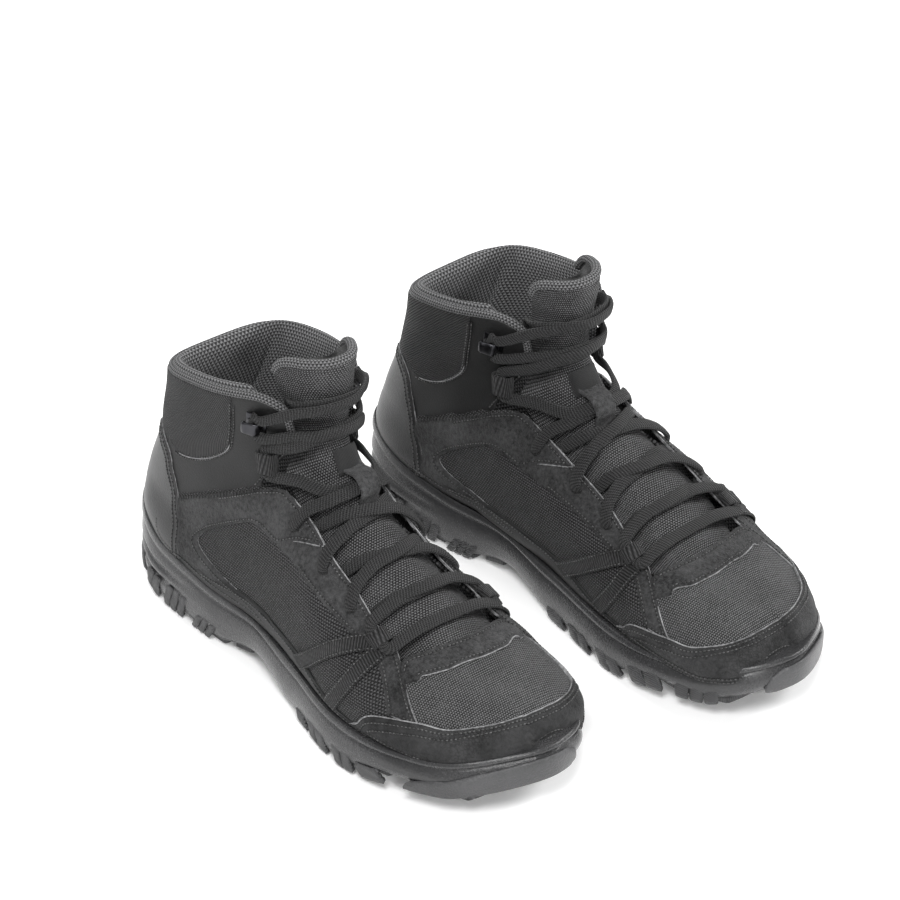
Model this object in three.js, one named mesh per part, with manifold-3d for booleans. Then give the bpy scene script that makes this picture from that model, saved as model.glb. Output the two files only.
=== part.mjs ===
// A pair of laced hiking boots, in millimetres, +Z up, toes towards -Y.
// Each boot is drawn once, as a left boot in its own frame (x outwards, f forwards from the heel, z up),
// and the right boot is its mirror image.
import * as THREE from 'three';
import * as BufferGeometryUtils from 'three/addons/utils/BufferGeometryUtils.js';
import Module from 'manifold-3d';

const wasm = await Module();
wasm.setup();

// ---- Driving dimensions ----
const outsoleLength = 298;
const ballWidth = 103;
const shaftHeight = 160;
const bootSpacing = 141;      // between the two boots' middle lines
const bootStagger = 20.3;     // how far the left boot stands ahead
const toeOut = 1.6;           // degrees

const gap = 0.3;              // clearance between pieces that touch
const upperThickness = 1;     // fabric and leather base of the upper
const overlayThickness = 0.9; // suede and synthetic overlays
const strapThickness = 0.9;
const liningThickness = 1.8;
const collarPadding = 6.5;    // foam thickness round the collar
const stiffenerThickness = 0.9;
const boardThickness = 1.4;
const footbedThickness = 3.8;
const tongueThickness = 5;
const labelThickness = 0.8;
const laceDiameter = 2.2;
const laceHoleDiameter = 6;
const outsoleThickness = 9.3;
const midsoleThickness = 10.7; // under the ball of the foot, up to the last
const toeSpring = 17;
const archRise = 6;
const grooveWidth = 3.5;
const grooveDepth = 3.5;

// ---- The last: a bent tube from the toe tip (station 0) round the heel to the collar (12) and beyond ----
// back is the bottom or heel end of the section, front its top or shin end, both as [f, z];
// outer and inner are its half widths and shift moves its middle line outwards.
const stations = [
  { back: [288, 28], front: [289, 32], outer: 4, inner: 4, shift: -10 },
  { back: [280, 23], front: [280, 43], outer: 27, inner: 26, shift: -9 },
  { back: [262, 21], front: [260, 51], outer: 42, inner: 39, shift: -6 },
  { back: [235, 20], front: [231, 60], outer: 49, inner: 45, shift: -2 },
  { back: [205, 20], front: [203, 73], outer: 50, inner: 44, shift: 0 },
  { back: [165, 21], front: [174, 89], outer: 45, inner: 39, shift: 1 },
  { back: [110, 24], front: [157, 103], outer: 38, inner: 35, shift: 0 },
  { back: [50, 28], front: [147, 114], outer: 35, inner: 33, shift: 0 },
  { back: [14, 34], front: [142, 123], outer: 34, inner: 32, shift: 0 },
  { back: [10, 56], front: [139, 131], outer: 33, inner: 31, shift: 0 },
  { back: [22, 88], front: [138, 138], outer: 33, inner: 32, shift: 0 },
  { back: [31, 114], front: [139, 148], outer: 35, inner: 34, shift: 0 },
  { back: [37, 137], front: [141, 159], outer: 37, inner: 36, shift: 0 },
  { back: [40, 150], front: [143, 171], outer: 38, inner: 37, shift: 0 },
];
// The sizes at which the last is drawn; drawnBottom is the height of its lowest point.
const drawnLength = 298;
const drawnWidth = 103;
const drawnHeight = 160;
const drawnBottom = 20;
const lastBottom = outsoleThickness + midsoleThickness;
const lengthScale = outsoleLength / drawnLength;
const widthScale = ballWidth / drawnWidth;
const heightScale = (shaftHeight - lastBottom) / (drawnHeight - drawnBottom);
const heightAt = (drawn) => lastBottom + (drawn - drawnBottom) * heightScale;

const topStation = stations.length - 1;
const rows = topStation;
const columns = 16;

function spline(values, t) {
  const last = values.length - 1;
  const i = Math.min(Math.floor(Math.max(t, 0)), last - 1);
  const s = t - i;
  const p1 = values[i];
  const p2 = values[i + 1];
  const p0 = i > 0 ? values[i - 1] : 2 * p1 - p2;
  const p3 = i + 2 <= last ? values[i + 2] : 2 * p2 - p1;
  const cubic = -p0 + 3 * p1 - 3 * p2 + p3;
  const square = 2 * p0 - 5 * p1 + 4 * p2 - p3;
  return 0.5 * (2 * p1 + (p2 - p0) * s + square * s * s + cubic * s * s * s);
}

const profile = {
  backF: stations.map((s) => s.back[0] * lengthScale),
  backZ: stations.map((s) => heightAt(s.back[1])),
  frontF: stations.map((s) => s.front[0] * lengthScale),
  frontZ: stations.map((s) => heightAt(s.front[1])),
  outer: stations.map((s) => s.outer * widthScale),
  inner: stations.map((s) => s.inner * widthScale),
  shift: stations.map((s) => s.shift * widthScale),
};

// A point on the last. The angle runs from the bottom or heel (0) outwards to the top or shin (180).
function lastPoint(station, degrees) {
  const angle = THREE.MathUtils.degToRad(degrees);
  const rise = (1 - Math.cos(angle)) / 2;
  const belly = Math.pow(rise, 0.64);
  const width = Math.pow(Math.max(1 - Math.pow(Math.abs(2 * belly - 1), 2.3), 0), 1 / 2.3);
  const outwards = Math.sin(angle) >= 0;
  const half = spline(outwards ? profile.outer : profile.inner, station) * (outwards ? 1 : -1);
  const backF = spline(profile.backF, station);
  const backZ = spline(profile.backZ, station);
  return new THREE.Vector3(
    spline(profile.shift, station) + half * width,
    backF + (spline(profile.frontF, station) - backF) * rise,
    backZ + (spline(profile.frontZ, station) - backZ) * rise,
  );
}

// ---- Facets: every layer of the upper uses the same grid, so its facets stay parallel ----
const grid = [];
for (let i = 0; i <= rows; i += 1) {
  grid.push([]);
  for (let j = 0; j < columns; j += 1) {
    grid[i].push({ point: lastPoint(i, 360 * j / columns) });
  }
}
for (let i = 0; i <= rows; i += 1) {
  for (let j = 0; j < columns; j += 1) {
    const along = grid[Math.min(i + 1, rows)][j].point.clone().sub(grid[Math.max(i - 1, 0)][j].point);
    const around = grid[i][(j + 1) % columns].point.clone().sub(grid[i][(j + columns - 1) % columns].point);
    grid[i][j].normal = around.cross(along).normalize();
  }
}

function gridPoint(i, j, offset) {
  const node = grid[i][((j % columns) + columns) % columns];
  return node.point.clone().addScaledVector(node.normal, offset);
}

// A point over the facets at a station, an angle in degrees and a height off the last.
function spot(station, degrees, offset) {
  const row = THREE.MathUtils.clamp(station, 0, rows);
  const column = degrees / 360 * columns;
  const i = Math.min(Math.floor(row), rows - 1);
  const j = Math.floor(column);
  const u = row - i;
  const v = column - j;
  const corner = u >= v ? gridPoint(i + 1, j, offset) : gridPoint(i, j + 1, offset);
  const start = gridPoint(i, j, offset);
  const end = gridPoint(i + 1, j + 1, offset);
  const major = Math.max(u, v);
  const minor = Math.min(u, v);
  return start.addScaledVector(corner.clone().sub(gridPoint(i, j, offset)), major)
    .addScaledVector(end.sub(corner), minor);
}

// ---- Panels: an outline of [station, degrees] points, cut out of the grid between two heights ----
function clipConvex(polygon, inside) {
  const result = [];
  polygon.forEach((point, k) => {
    const next = polygon[(k + 1) % polygon.length];
    const a = inside(point);
    const b = inside(next);
    if (a >= 0) result.push(point);
    if ((a > 0 && b < 0) || (a < 0 && b > 0)) {
      const t = a / (a - b);
      result.push([point[0] + (next[0] - point[0]) * t, point[1] + (next[1] - point[1]) * t]);
    }
  });
  return result;
}

function clipByTriangle(polygon, triangle) {
  let result = polygon;
  for (let k = 0; k < 3 && result.length > 2; k += 1) {
    const [ax, ay] = triangle[k];
    const [bx, by] = triangle[(k + 1) % 3];
    result = clipConvex(result, ([x, y]) => (bx - ax) * (y - ay) - (by - ay) * (x - ax));
  }
  return result;
}

function area(polygon) {
  return polygon.reduce((sum, [x, y], k) => {
    const [nextX, nextY] = polygon[(k + 1) % polygon.length];
    return sum + (x * nextY - nextX * y) / 2;
  }, 0);
}

const pointKey = ([x, y]) => `${Math.round(x * 1e5)}_${Math.round(y * 1e5)}`;

// Convex parts that lie side by side become one polygon, without the points that lie on its straight edges.
function joinParts(parts) {
  const edges = new Map();
  parts.forEach((part) => {
    part.forEach((point, k) => {
      const next = part[(k + 1) % part.length];
      const [from, to] = [pointKey(point), pointKey(next)];
      if (from !== to && !edges.delete(`${to}|${from}`)) edges.set(`${from}|${to}`, [point, to]);
    });
  });
  const following = new Map([...edges].map(([key, [point, to]]) => [key.split('|')[0], { point, to }]));
  const polygons = [];
  while (following.size > 0) {
    const ring = [];
    let key = following.keys().next().value;
    while (following.has(key)) {
      const { point, to } = following.get(key);
      following.delete(key);
      ring.push(point);
      key = to;
    }
    const corners = ring.filter((point, k) => {
      const before = ring[(k + ring.length - 1) % ring.length];
      const after = ring[(k + 1) % ring.length];
      return Math.abs(area([before, point, after])) > 1e-6;
    });
    if (corners.length > 2) polygons.push(corners);
  }
  return polygons;
}

// The outline in grid units, split into flat pieces that never cross a facet edge.
function facetPieces(outline) {
  const scaled = outline.map(([s, a]) => new THREE.Vector2(s, a / 360 * columns));
  const box = new THREE.Box2().setFromPoints(scaled);
  const parts = THREE.ShapeUtils.triangulateShape(scaled, []).map((corners) => {
    const part = corners.map((k) => [scaled[k].x, scaled[k].y]);
    return area(part) < 0 ? part.reverse() : part;
  });
  const pieces = [];
  for (let i = Math.floor(box.min.x); i < box.max.x; i += 1) {
    for (let j = Math.floor(box.min.y); j < box.max.y; j += 1) {
      const halves = [
        [[i, j], [i + 1, j], [i + 1, j + 1]],
        [[i, j], [i + 1, j + 1], [i, j + 1]],
      ];
      halves.forEach((half) => {
        const clipped = parts.map((part) => clipByTriangle(part, half));
        const filled = clipped.filter((piece) => piece.length > 2 && area(piece) > 1e-7);
        joinParts(filled).forEach((polygon) => {
          const points = polygon.map(([x, y]) => new THREE.Vector2(x, y));
          THREE.ShapeUtils.triangulateShape(points, []).forEach((corners) => {
            const piece = corners.map((k) => polygon[k]);
            pieces.push(area(piece) < 0 ? piece.reverse() : piece);
          });
        });
      });
    }
  }
  return pieces;
}

function heightOf(value, station, degrees) {
  return typeof value === 'function' ? value(station, degrees) : value;
}

// A closed sheet that follows the last between two heights, each a number or a function of place.
function panel(outline, low, high) {
  const indexOf = new Map();
  const corners = [];
  const faces = [];
  const edges = new Map();
  facetPieces(outline).forEach((piece) => {
    faces.push(piece.map(([x, y]) => {
      const key = pointKey([x, y]);
      if (!indexOf.has(key)) {
        indexOf.set(key, corners.length);
        corners.push([x , y / columns * 360]);
      }
      return indexOf.get(key);
    }));
  });
  faces.forEach((face) => {
    face.forEach((a, k) => {
      const b = face[(k + 1) % 3];
      if (!edges.delete(`${b}_${a}`)) edges.set(`${a}_${b}`, [a, b]);
    });
  });
  const count = corners.length;
  const points = [];
  [low, high].forEach((side) => {
    corners.forEach(([s, a]) => points.push(spot(s, a, heightOf(side, s, a))));
  });
  const triangles = [];
  faces.forEach(([a, b, c]) => {
    triangles.push([a, b, c], [c + count, b + count, a + count]);
  });
  edges.forEach(([a, b]) => {
    triangles.push([b, a, a + count], [b, a + count, b + count]);
  });
  return closedGeometry(points, triangles);
}

function closedGeometry(points, triangles) {
  const geometry = new THREE.BufferGeometry();
  const numbers = points.flatMap((p) => [p.x, p.y, p.z]);
  geometry.setAttribute('position', new THREE.Float32BufferAttribute(numbers, 3));
  geometry.setIndex(triangles.flat());
  return geometry;
}

function joinedVertices(geometry) {
  const bare = geometry.clone();
  bare.deleteAttribute('normal');
  bare.deleteAttribute('uv');
  return BufferGeometryUtils.mergeVertices(bare, 1e-4);
}

// ---- Solids for cutting and joining ----
function solid(geometry) {
  const merged = joinedVertices(geometry);
  return new wasm.Manifold(new wasm.Mesh({
    numProp: 3,
    vertProperties: new Float32Array(merged.attributes.position.array),
    triVerts: new Uint32Array(merged.index.array),
  }));
}

function fromSolid(body) {
  const mesh = body.getMesh();
  const geometry = new THREE.BufferGeometry();
  geometry.setAttribute('position', new THREE.BufferAttribute(mesh.vertProperties, 3));
  geometry.setIndex(new THREE.BufferAttribute(mesh.triVerts, 1));
  return geometry;
}

// ---- A frame on the surface: t runs round the boot towards the shin, u up the boot, n outwards ----
function frameAt(station, degrees, offset) {
  const origin = spot(station, degrees, offset);
  const t = spot(station, degrees + 2, offset).sub(spot(station, degrees - 2, offset)).normalize();
  const u = spot(station + 0.15, degrees, offset).sub(spot(station - 0.15, degrees, offset));
  const n = t.clone().cross(u).normalize();
  u.copy(n).cross(t).normalize();
  return new THREE.Matrix4().makeBasis(t, u, n).setPosition(origin);
}

// An outline of [across, up] points, made thick along the third axis about its middle.
function slab(outline, thickness) {
  const shape = new THREE.Shape(outline.map(([x, y]) => new THREE.Vector2(x, y)));
  const geometry = new THREE.ExtrudeGeometry(shape, { depth: thickness, bevelEnabled: false });
  return geometry.translate(0, 0, -thickness / 2);
}

// A slab whose outline stands in the frame's t-n plane and whose length runs along u.
function standing(outline, length) {
  return slab(outline, length).rotateX(Math.PI / 2);
}

// The instep opening leans inwards, so on the inner side everything near it sits this much further round.
const insideTurn = 8;
const midline = 180 + insideTurn / 2;
const innerAngle = (a) => 360 - a + insideTurn * THREE.MathUtils.smoothstep(a, 50, 110);
const sideOf = ([s, a], outer) => [s, outer ? a : innerAngle(a)];
const mirrorOutline = (outline) => outline.map((place) => sideOf(place, false));
const bothSides = (outline) => [...outline, ...mirrorOutline(outline).reverse()];

// ---- Heights of the layers off the last ----
const level = {};
level.upper = [0, upperThickness];
level.overlay = [level.upper[1] + gap, level.upper[1] + gap + overlayThickness];
level.strap = [level.overlay[1] + gap, level.overlay[1] + gap + strapThickness];
level.stiffener = [-gap - stiffenerThickness, -gap];
level.lining = [level.stiffener[0] - gap - liningThickness, level.stiffener[0] - gap];
level.board = [level.overlay[1] - boardThickness, level.overlay[1]];
level.footbed = [level.board[0] - gap - footbedThickness, level.board[0] - gap];
level.soleCup = level.overlay[1] + gap;

const featherAngle = 42;      // where the upper turns under the foot
const heelEdge = [[6.8, featherAngle], [7.4, 26], [7.8, 1]];
const collarLine = 12;

// ---- Outlines, outer side first ----
const vampOutline = [
  [0.05, featherAngle], [3.12, featherAngle], [3.12, 360 - featherAngle], [0.05, 360 - featherAngle],
];
const quarterOutline = [
  [3.2, featherAngle], ...heelEdge, [8.35, 1], [8.27, 74], [8.06, 99], [7.8, 122], [7.5, 134],
  [6.7, 137.5], [5.65, 141], [4.9, 145], [4.45, 146], [3.7, 142.5], [3.2, 142.5],
];
const shaftOutline = [
  [8.42, 1], [9.33, 1], [9.36, 96], [9.75, 104], [collarLine, 104], [collarLine, 124], [11.7, 132],
  [11.3, 139], [10.3, 142], [9.2, 143], [8.15, 124], [7.9, 122], [8.14, 99], [8.34, 74],
];
const backPanelSide = [[9.41, 0], [9.44, 95], [9.82, 103], [collarLine, 103]];
const eyestayOutline = [
  [2.5, 105], [2.95, 128], [3.4, 143], [3.7, 143.5], [4.45, 147], [4.9, 146], [5.65, 142], [6.7, 138.5],
  [7.4, 134], [7.7, 122], [7.95, 99], [8.2, 77], [7.6, 71], [7.35, 80], [7.05, 104], [6.3, 110],
  [5.5, 115], [4.8, 120], [4.3, 124], [3.65, 128], [3.25, 117], [2.95, 98],
];
const throatOutline = [
  [2.99, 131], [2.75, 155], [2.66, midline], [2.75, 213], [2.99, 360 + insideTurn - 131],
  [3.42, 360 + insideTurn - 146], [3.42, 146],
];
const randTop = [
  [3.7, 46], [3.68, 52], [3.5, 62], [3.2, 84], [2.42, 103], [1.9, 111], [1.4, 134], [1.1, 180],
];
const mudguardOutline = [[3.85, 43], [3.85, 54], [4.95, 60], [5.75, 57], [6.6, 50], [6.95, 44]];
const counterSide = [
  [7.85, 1], [7.45, 26], [7.02, 43], [7.5, 62], [8.4, 68], [9.1, 64], [9.5, 50], [9.6, 1],
];
const strapOutline = [
  [3.5, 139], [3.9, 139], [5.05, 74], [4.68, 74], [3.98, 108], [4.25, 72], [3.85, 72], [3.45, 122],
];
const liningSide = [
  [0.92, 46.5], [6.75, 46.5], [7.4, 29], [7.9, 1], [collarLine, 1], [collarLine, 120], [11.3, 128],
  [10.3, 130], [9.3, 129], [8.2, 119], [7.4, 114], [6.3, 118], [5.2, 124], [4.4, 127], [3.6, 131],
  [3.1, 134],
];
const boardSide = [[0.6, 38], [3, 41], [6.75, 41], [7.35, 24], [7.7, 0]];
const footbedSide = [[1.1, 34], [3, 37], [6.7, 37], [7.25, 20], [7.55, 0]];
const toePuffSide = [[0.95, 46], [1.97, 46], [1.9, 100]];
const stiffenerSide = [[7.8, 34], [8.2, 60], [8.8, 56], [8.9, 0]];
const tongueSide = [[3.3, 145], [3.7, 129], [8.2, 129], [8.9, 146], [12.2, 148], [12.6, 160]];
const labelOutline = [[7.3, 173], [8.25, 173], [8.25, 195], [7.3, 195]];

// The collar is padded towards the top, and the tongue crowns in the middle of the opening.
const padding = (s) => (collarPadding - liningThickness) * THREE.MathUtils.smoothstep(s, 8.6, 10);
const liningLow = (s) => level.lining[0] - padding(s);
const liningHigh = (s) => (s > 9.5 ? level.upper[0] - gap : level.lining[1]);
const tongueHigh = (s, a) => 0.5 - 5.2 * THREE.MathUtils.smoothstep(Math.abs(a - midline), 0, 45);
const tongueTaper = (a) => 1 - 0.5 * Math.min(Math.abs(a - midline) / 50, 1);
const tongueLow = (s, a) => tongueHigh(s, a) - tongueThickness * tongueTaper(a);

// ---- The sole: rings of an outline at several heights ----
const outsoleOuter = [
  [10, 0], [28, 9], [40, 34], [42, 80], [40, 120], [46, 160], [54, 200], [51, 240], [36, 274], [6, 295],
];
const outsoleInner = [
  [-10, 0], [-28, 9], [-37, 34], [-37, 72], [-33, 112], [-39, 160], [-48, 210], [-47, 250], [-34, 283],
  [-14, 296],
];
const ringSteps = 15;
const midsoleTop = [
  [0, 50], [15, 45], [40, 37], [80, 33], [130, 31], [180, 30], [230, 28], [262, 28], [282, 32], [298, 37],
];

function halfOutline(points) {
  const xs = points.map(([x]) => x * widthScale);
  const fs = points.map(([, f]) => f * lengthScale);
  return Array.from({ length: ringSteps + 1 }, (_, k) => {
    const t = (k / ringSteps) * (points.length - 1);
    return new THREE.Vector2(spline(xs, t), spline(fs, t));
  });
}
const soleOutline = [...halfOutline(outsoleOuter), ...halfOutline(outsoleInner).reverse()];

function soleRing(inset, heightAt) {
  return soleOutline.map((point, k) => {
    const before = soleOutline[(k + soleOutline.length - 1) % soleOutline.length];
    const after = soleOutline[(k + 1) % soleOutline.length];
    const side = after.clone().sub(before).normalize();
    const x = point.x - side.y * inset;
    const f = point.y + side.x * inset;
    return new THREE.Vector3(x, f, heightAt(f));
  });
}

const spring = (f) => toeSpring * Math.pow(Math.max((f / outsoleLength - 0.72) / 0.28, 0), 2);
const arch = (f) => archRise * Math.max(Math.cos((f / outsoleLength - 0.41) * Math.PI / 0.2), 0);
const cupTop = (f) => {
  const points = midsoleTop.map(([at, height]) => [at * lengthScale, heightAt(height)]);
  const next = Math.max(points.findIndex(([at]) => at >= f), 1);
  const [[f0, z0], [f1, z1]] = [points[next - 1], points[next]];
  return z0 + (z1 - z0) * THREE.MathUtils.clamp((f - f0) / (f1 - f0), 0, 1);
};

function soleSolid(rings) {
  const count = soleOutline.length;
  const points = rings.flat();
  const triangles = [];
  for (let r = 0; r + 1 < rings.length; r += 1) {
    for (let k = 0; k < count; k += 1) {
      const a = r * count + k;
      const b = r * count + ((k + 1) % count);
      triangles.push([a, b, b + count], [a, b + count, a + count]);
    }
  }
  const top = (rings.length - 1) * count;
  for (let k = 0; k < ringSteps; k += 1) {
    const [a, b, c, d] = [k, k + 1, count - 2 - k, count - 1 - k];
    triangles.push([a, d, c], [a, c, b], [top + a, top + b, top + c], [top + a, top + c, top + d]);
  }
  return closedGeometry(points, triangles);
}

const treadPlaces = [26, 50, 74, 158, 180, 202, 224, 246, 268];

function outsole() {
  const rings = [
    soleRing(4, (f) => spring(f) + arch(f)),
    soleRing(1.5, (f) => spring(f) + 4 + arch(f) * 0.6),
    soleRing(2, (f) => spring(f) + outsoleThickness),
  ];
  let body = solid(soleSolid(rings));
  treadPlaces.forEach((place) => {
    const f = place * lengthScale;
    const groove = new THREE.BoxGeometry(ballWidth + 20, grooveWidth, grooveDepth * 2 + 4);
    body = body.subtract(solid(groove.translate(0, f, spring(f) - 2)));
  });
  return fromSolid(body);
}

// The last itself, swollen to a height, closed at both ends.
function lastSolid(offset) {
  const points = [];
  const triangles = [];
  for (let i = 0; i <= rows; i += 1) {
    for (let j = 0; j < columns; j += 1) points.push(gridPoint(i, j, offset));
  }
  for (let i = 0; i < rows; i += 1) {
    for (let j = 0; j < columns; j += 1) {
      const [a, b] = [i * columns + j, i * columns + ((j + 1) % columns)];
      triangles.push([a, b + columns, a + columns], [a, b, b + columns]);
    }
  }
  [0, rows].forEach((row) => {
    const middle = new THREE.Vector3();
    for (let j = 0; j < columns; j += 1) middle.addScaledVector(points[row * columns + j], 1 / columns);
    points.push(middle);
    for (let j = 0; j < columns; j += 1) {
      const [a, b] = [row * columns + j, row * columns + ((j + 1) % columns)];
      triangles.push(row === 0 ? [b, a, points.length - 1] : [a, b, points.length - 1]);
    }
  });
  return closedGeometry(points, triangles);
}

function midsole() {
  const bottom = (f) => spring(f) + outsoleThickness + gap;
  const between = (share) => (f) => bottom(f) + (cupTop(f) - bottom(f)) * share;
  const rings = [
    soleRing(2, bottom),
    soleRing(0, between(0.4)),
    soleRing(0.6, between(0.75)),
    soleRing(2.2, cupTop),
  ];
  return fromSolid(solid(soleSolid(rings)).subtract(solid(lastSolid(level.soleCup))));
}

// ---- Lacing places on the outer side, as [station, degrees] ----
const laceHoles = [[4.4, 137], [5.2, 134], [6.3, 128]];
const frontLoop = [3.76, 139.5];
const ankleLoop = [8.95, 131];
const ankleLoopHeight = level.upper[1] + 1;
const hookPlace = [11, 121];

function withLaceHoles(geometry, outer) {
  let body = solid(geometry);
  laceHoles.forEach((hole) => {
    const punch = new THREE.CylinderGeometry(laceHoleDiameter / 2, laceHoleDiameter / 2, 16, 10);
    punch.rotateX(Math.PI / 2).applyMatrix4(frameAt(...sideOf(hole, outer), 0));
    body = body.subtract(solid(punch));
  });
  return fromSolid(body);
}

// A folded loop of webbing that stands on the surface, open along the boot.
const loopWidth = 9;
const loopHeight = 6;
const loopLength = 10;
const webbing = 1.2;
function webbingLoop(place, outer, offset) {
  const ring = (w, h) => {
    const r = h / 2;
    const shape = new THREE.Shape();
    shape.absarc(w / 2 - r, loopHeight / 2, r, -Math.PI / 2, Math.PI / 2, false);
    shape.absarc(r - w / 2, loopHeight / 2, r, Math.PI / 2, Math.PI * 1.5, false);
    return shape;
  };
  const shape = ring(loopWidth, loopHeight);
  shape.holes.push(ring(loopWidth - 2 * webbing, loopHeight - 2 * webbing));
  const settings = { depth: loopLength, bevelEnabled: false, curveSegments: 4 };
  const loop = new THREE.ExtrudeGeometry(shape, settings);
  loop.translate(0, 0, -loopLength / 2).rotateX(Math.PI / 2);
  return loop.applyMatrix4(frameAt(...sideOf(place, outer), offset));
}

function strap(outer) {
  const flat = panel(outer ? strapOutline : mirrorOutline(strapOutline), ...level.strap);
  const loop = webbingLoop(frontLoop, outer, level.strap[0] + 0.3);
  return fromSolid(solid(flat).add(solid(loop)));
}

// An open speed hook: a riveted plate, a neck and an arm that points away from the tongue.
const hookWidth = 8;
const hookPlate = [11, 11, 1];
const hookHeight = level.upper[1] + 0.8;
const hookNeck = [1.2, 2.6];
const hookTip = -4.8;
const hookLaceFloor = 1.6;
const hookArm = hookLaceFloor + laceDiameter + 1.4;
const hookRivet = { place: -2.6, radius: 2, foot: 2.4, height: 1 };
function hook(outer) {
  const armOutline = [
    [hookNeck[0], 0.5], [hookNeck[1], 0.5], [hookNeck[1], hookArm], [hookTip, hookArm + 0.6],
    [hookTip, hookArm - 0.6], [hookNeck[0], hookArm - 1.1],
  ];
  const plate = solid(new THREE.BoxGeometry(...hookPlate).translate(0, 0, hookPlate[2] / 2));
  const arm = solid(standing(armOutline, hookWidth));
  const rivet = new THREE.CylinderGeometry(hookRivet.radius, hookRivet.foot, hookRivet.height, 10);
  rivet.rotateX(Math.PI / 2).translate(hookRivet.place, 0, hookPlate[2] + 0.2);
  const whole = fromSolid(plate.add(arm).add(solid(rivet)));
  if (!outer) flip(whole.scale(-1, 1, 1));
  return whole.applyMatrix4(frameAt(...sideOf(hookPlace, outer), hookHeight));
}

// The keeper: a strip of suede sewn down at both ends, with room for two laces under it.
const keeperPlace = [6.5, midline];
const keeperLength = 16;
const keeperRise = 7.8;
const keeperFoot = 9;
const keeperSpan = 4.8;
const keeperThickness = 0.9;
function laceKeeper() {
  const under = [[-keeperFoot, 0], [-keeperSpan - 2, 0], [-keeperSpan, keeperRise - keeperThickness]];
  const over = [
    [keeperFoot, keeperThickness], [keeperSpan + 2.6, keeperThickness], [keeperSpan + 0.6, keeperRise],
  ];
  const turned = (points) => points.map(([x, y]) => [-x, y]).reverse();
  const outline = [...under, ...turned(under), ...over, ...turned(over)];
  const strip = standing(outline, keeperLength).rotateZ(Math.PI / 2);
  return strip.applyMatrix4(frameAt(...keeperPlace, tongueHigh(...keeperPlace) + 0.8));
}

function flip(geometry) {
  const index = geometry.index.array;
  for (let k = 0; k < index.length; k += 3) [index[k], index[k + 1]] = [index[k + 1], index[k]];
  return geometry;
}

// ---- The lace: half of it, from the middle of the bottom bar to its hidden end ----
// Points are [station, degrees, height] for a strand that starts towards the outer side.
const overStay = level.strap[1] + 1.6;
const underStay = -1.9;
function laceHalf(startOuter) {
  const points = [];
  let outer = startOuter;
  const place = (s, a, h) => points.push(spot(...sideOf([s, a], outer), h));
  const nearFrame = (frame, t, u, n) => {
    points.push(new THREE.Vector3(outer ? t : -t, u, n).applyMatrix4(frame));
  };
  const throughLoop = (loop, height) => {
    const frame = frameAt(...sideOf(loop, outer), height);
    [-1, 0, 1].forEach((end) => nearFrame(frame, 0, end * (loopLength / 2 + 2), loopHeight / 2));
  };
  const crown = startOuter ? 3.1 : 5.8;
  place(3.5, 168, 4.6);
  place(3.5, 152, 5);
  throughLoop(frontLoop, level.strap[0] + 0.3);
  place(4.05, 148, 4.4);
  laceHoles.forEach(([s, a], k) => {
    const edge = 148 - 3.2 * k;
    const from = k === 0 ? 4.05 : laceHoles[k - 1][0] + 0.2;
    const crossing = (from + s - 0.35) / 2;
    const over = (share) => from + (s - 0.25 - from) * share;
    place(over(0.25), 165, (crown + 4.2) / 2);
    place(crossing, midline, crown);
    outer = !outer;
    place(over(0.75), 165, crown * 0.5);
    place(over(0.95), edge + 6, -0.4);
    place(s - 0.2, edge - 1, underStay);
    place(s, a - 0.5, underStay);
    place(s, a, 1);
    place(s + 0.06, a + 1, overStay);
    place(s + 0.2, edge + 1, overStay);
  });
  place(6.42, 162, (crown + 3.6) / 2 + 0.4);
  place(6.45, midline, crown);
  outer = !outer;
  place(6.7, 162, crown * 0.5 + 1.5);
  place(7.6, 146, 3.4);
  throughLoop(ankleLoop, ankleLoopHeight);
  place(9.6, 146, 4.6);
  place(9.8, 163, crown * 0.6 + 1.6);
  place(9.95, midline, crown);
  outer = !outer;
  place(10.1, 163, crown * 0.6 + 1.6);
  place(10.25, 146, 3.6);
  const hookFrame = frameAt(...sideOf(hookPlace, outer), hookHeight);
  const inHook = [hookNeck[0] - 0.7 - laceDiameter / 2, hookLaceFloor + laceDiameter / 2];
  nearFrame(hookFrame, 5.5, -6.2, 3.4);
  nearFrame(hookFrame, inHook[0], -5.2, inHook[1]);
  nearFrame(hookFrame, inHook[0], 5.2, inHook[1]);
  nearFrame(hookFrame, 5, 6, 3.4);
  place(11.55, 146, 3.8);
  place(11.65, 163, crown * 0.6 + 1.6);
  place(11.7, midline, crown);
  outer = !outer;
  place(11.75, 163, crown * 0.4 + 1);
  place(11.7, 147, 0.5);
  place(11.5, 142, -5);
  place(11.1, 138, -11);
  place(9.9, 134, -12);
  return points;
}

// A round cord through the points, its rings square to the bends.
function cord(points, radius, sides) {
  const rings = [];
  let side = new THREE.Vector3(0, 0, 1);
  points.forEach((point, k) => {
    const before = points[Math.max(k - 1, 0)];
    const after = points[Math.min(k + 1, points.length - 1)];
    const ahead = after.clone().sub(before).normalize();
    side = side.clone().addScaledVector(ahead, -side.dot(ahead)).normalize();
    const up = ahead.clone().cross(side);
    for (let j = 0; j < sides; j += 1) {
      const turn = 2 * Math.PI * j / sides;
      const across = side.clone().multiplyScalar(radius * Math.cos(turn));
      rings.push(point.clone().add(across).addScaledVector(up, radius * Math.sin(turn)));
    }
  });
  const triangles = [];
  const last = (points.length - 1) * sides;
  for (let r = 0; r < last; r += sides) {
    for (let j = 0; j < sides; j += 1) {
      const next = (j + 1) % sides;
      triangles.push([r + j, r + next, r + sides + next], [r + j, r + sides + next, r + sides + j]);
    }
  }
  for (let j = 1; j + 1 < sides; j += 1) triangles.push([0, j + 1, j], [last, last + j, last + j + 1]);
  return closedGeometry(rings, triangles);
}

const laceRoute = [...laceHalf(true).reverse(), ...laceHalf(false)];

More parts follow.
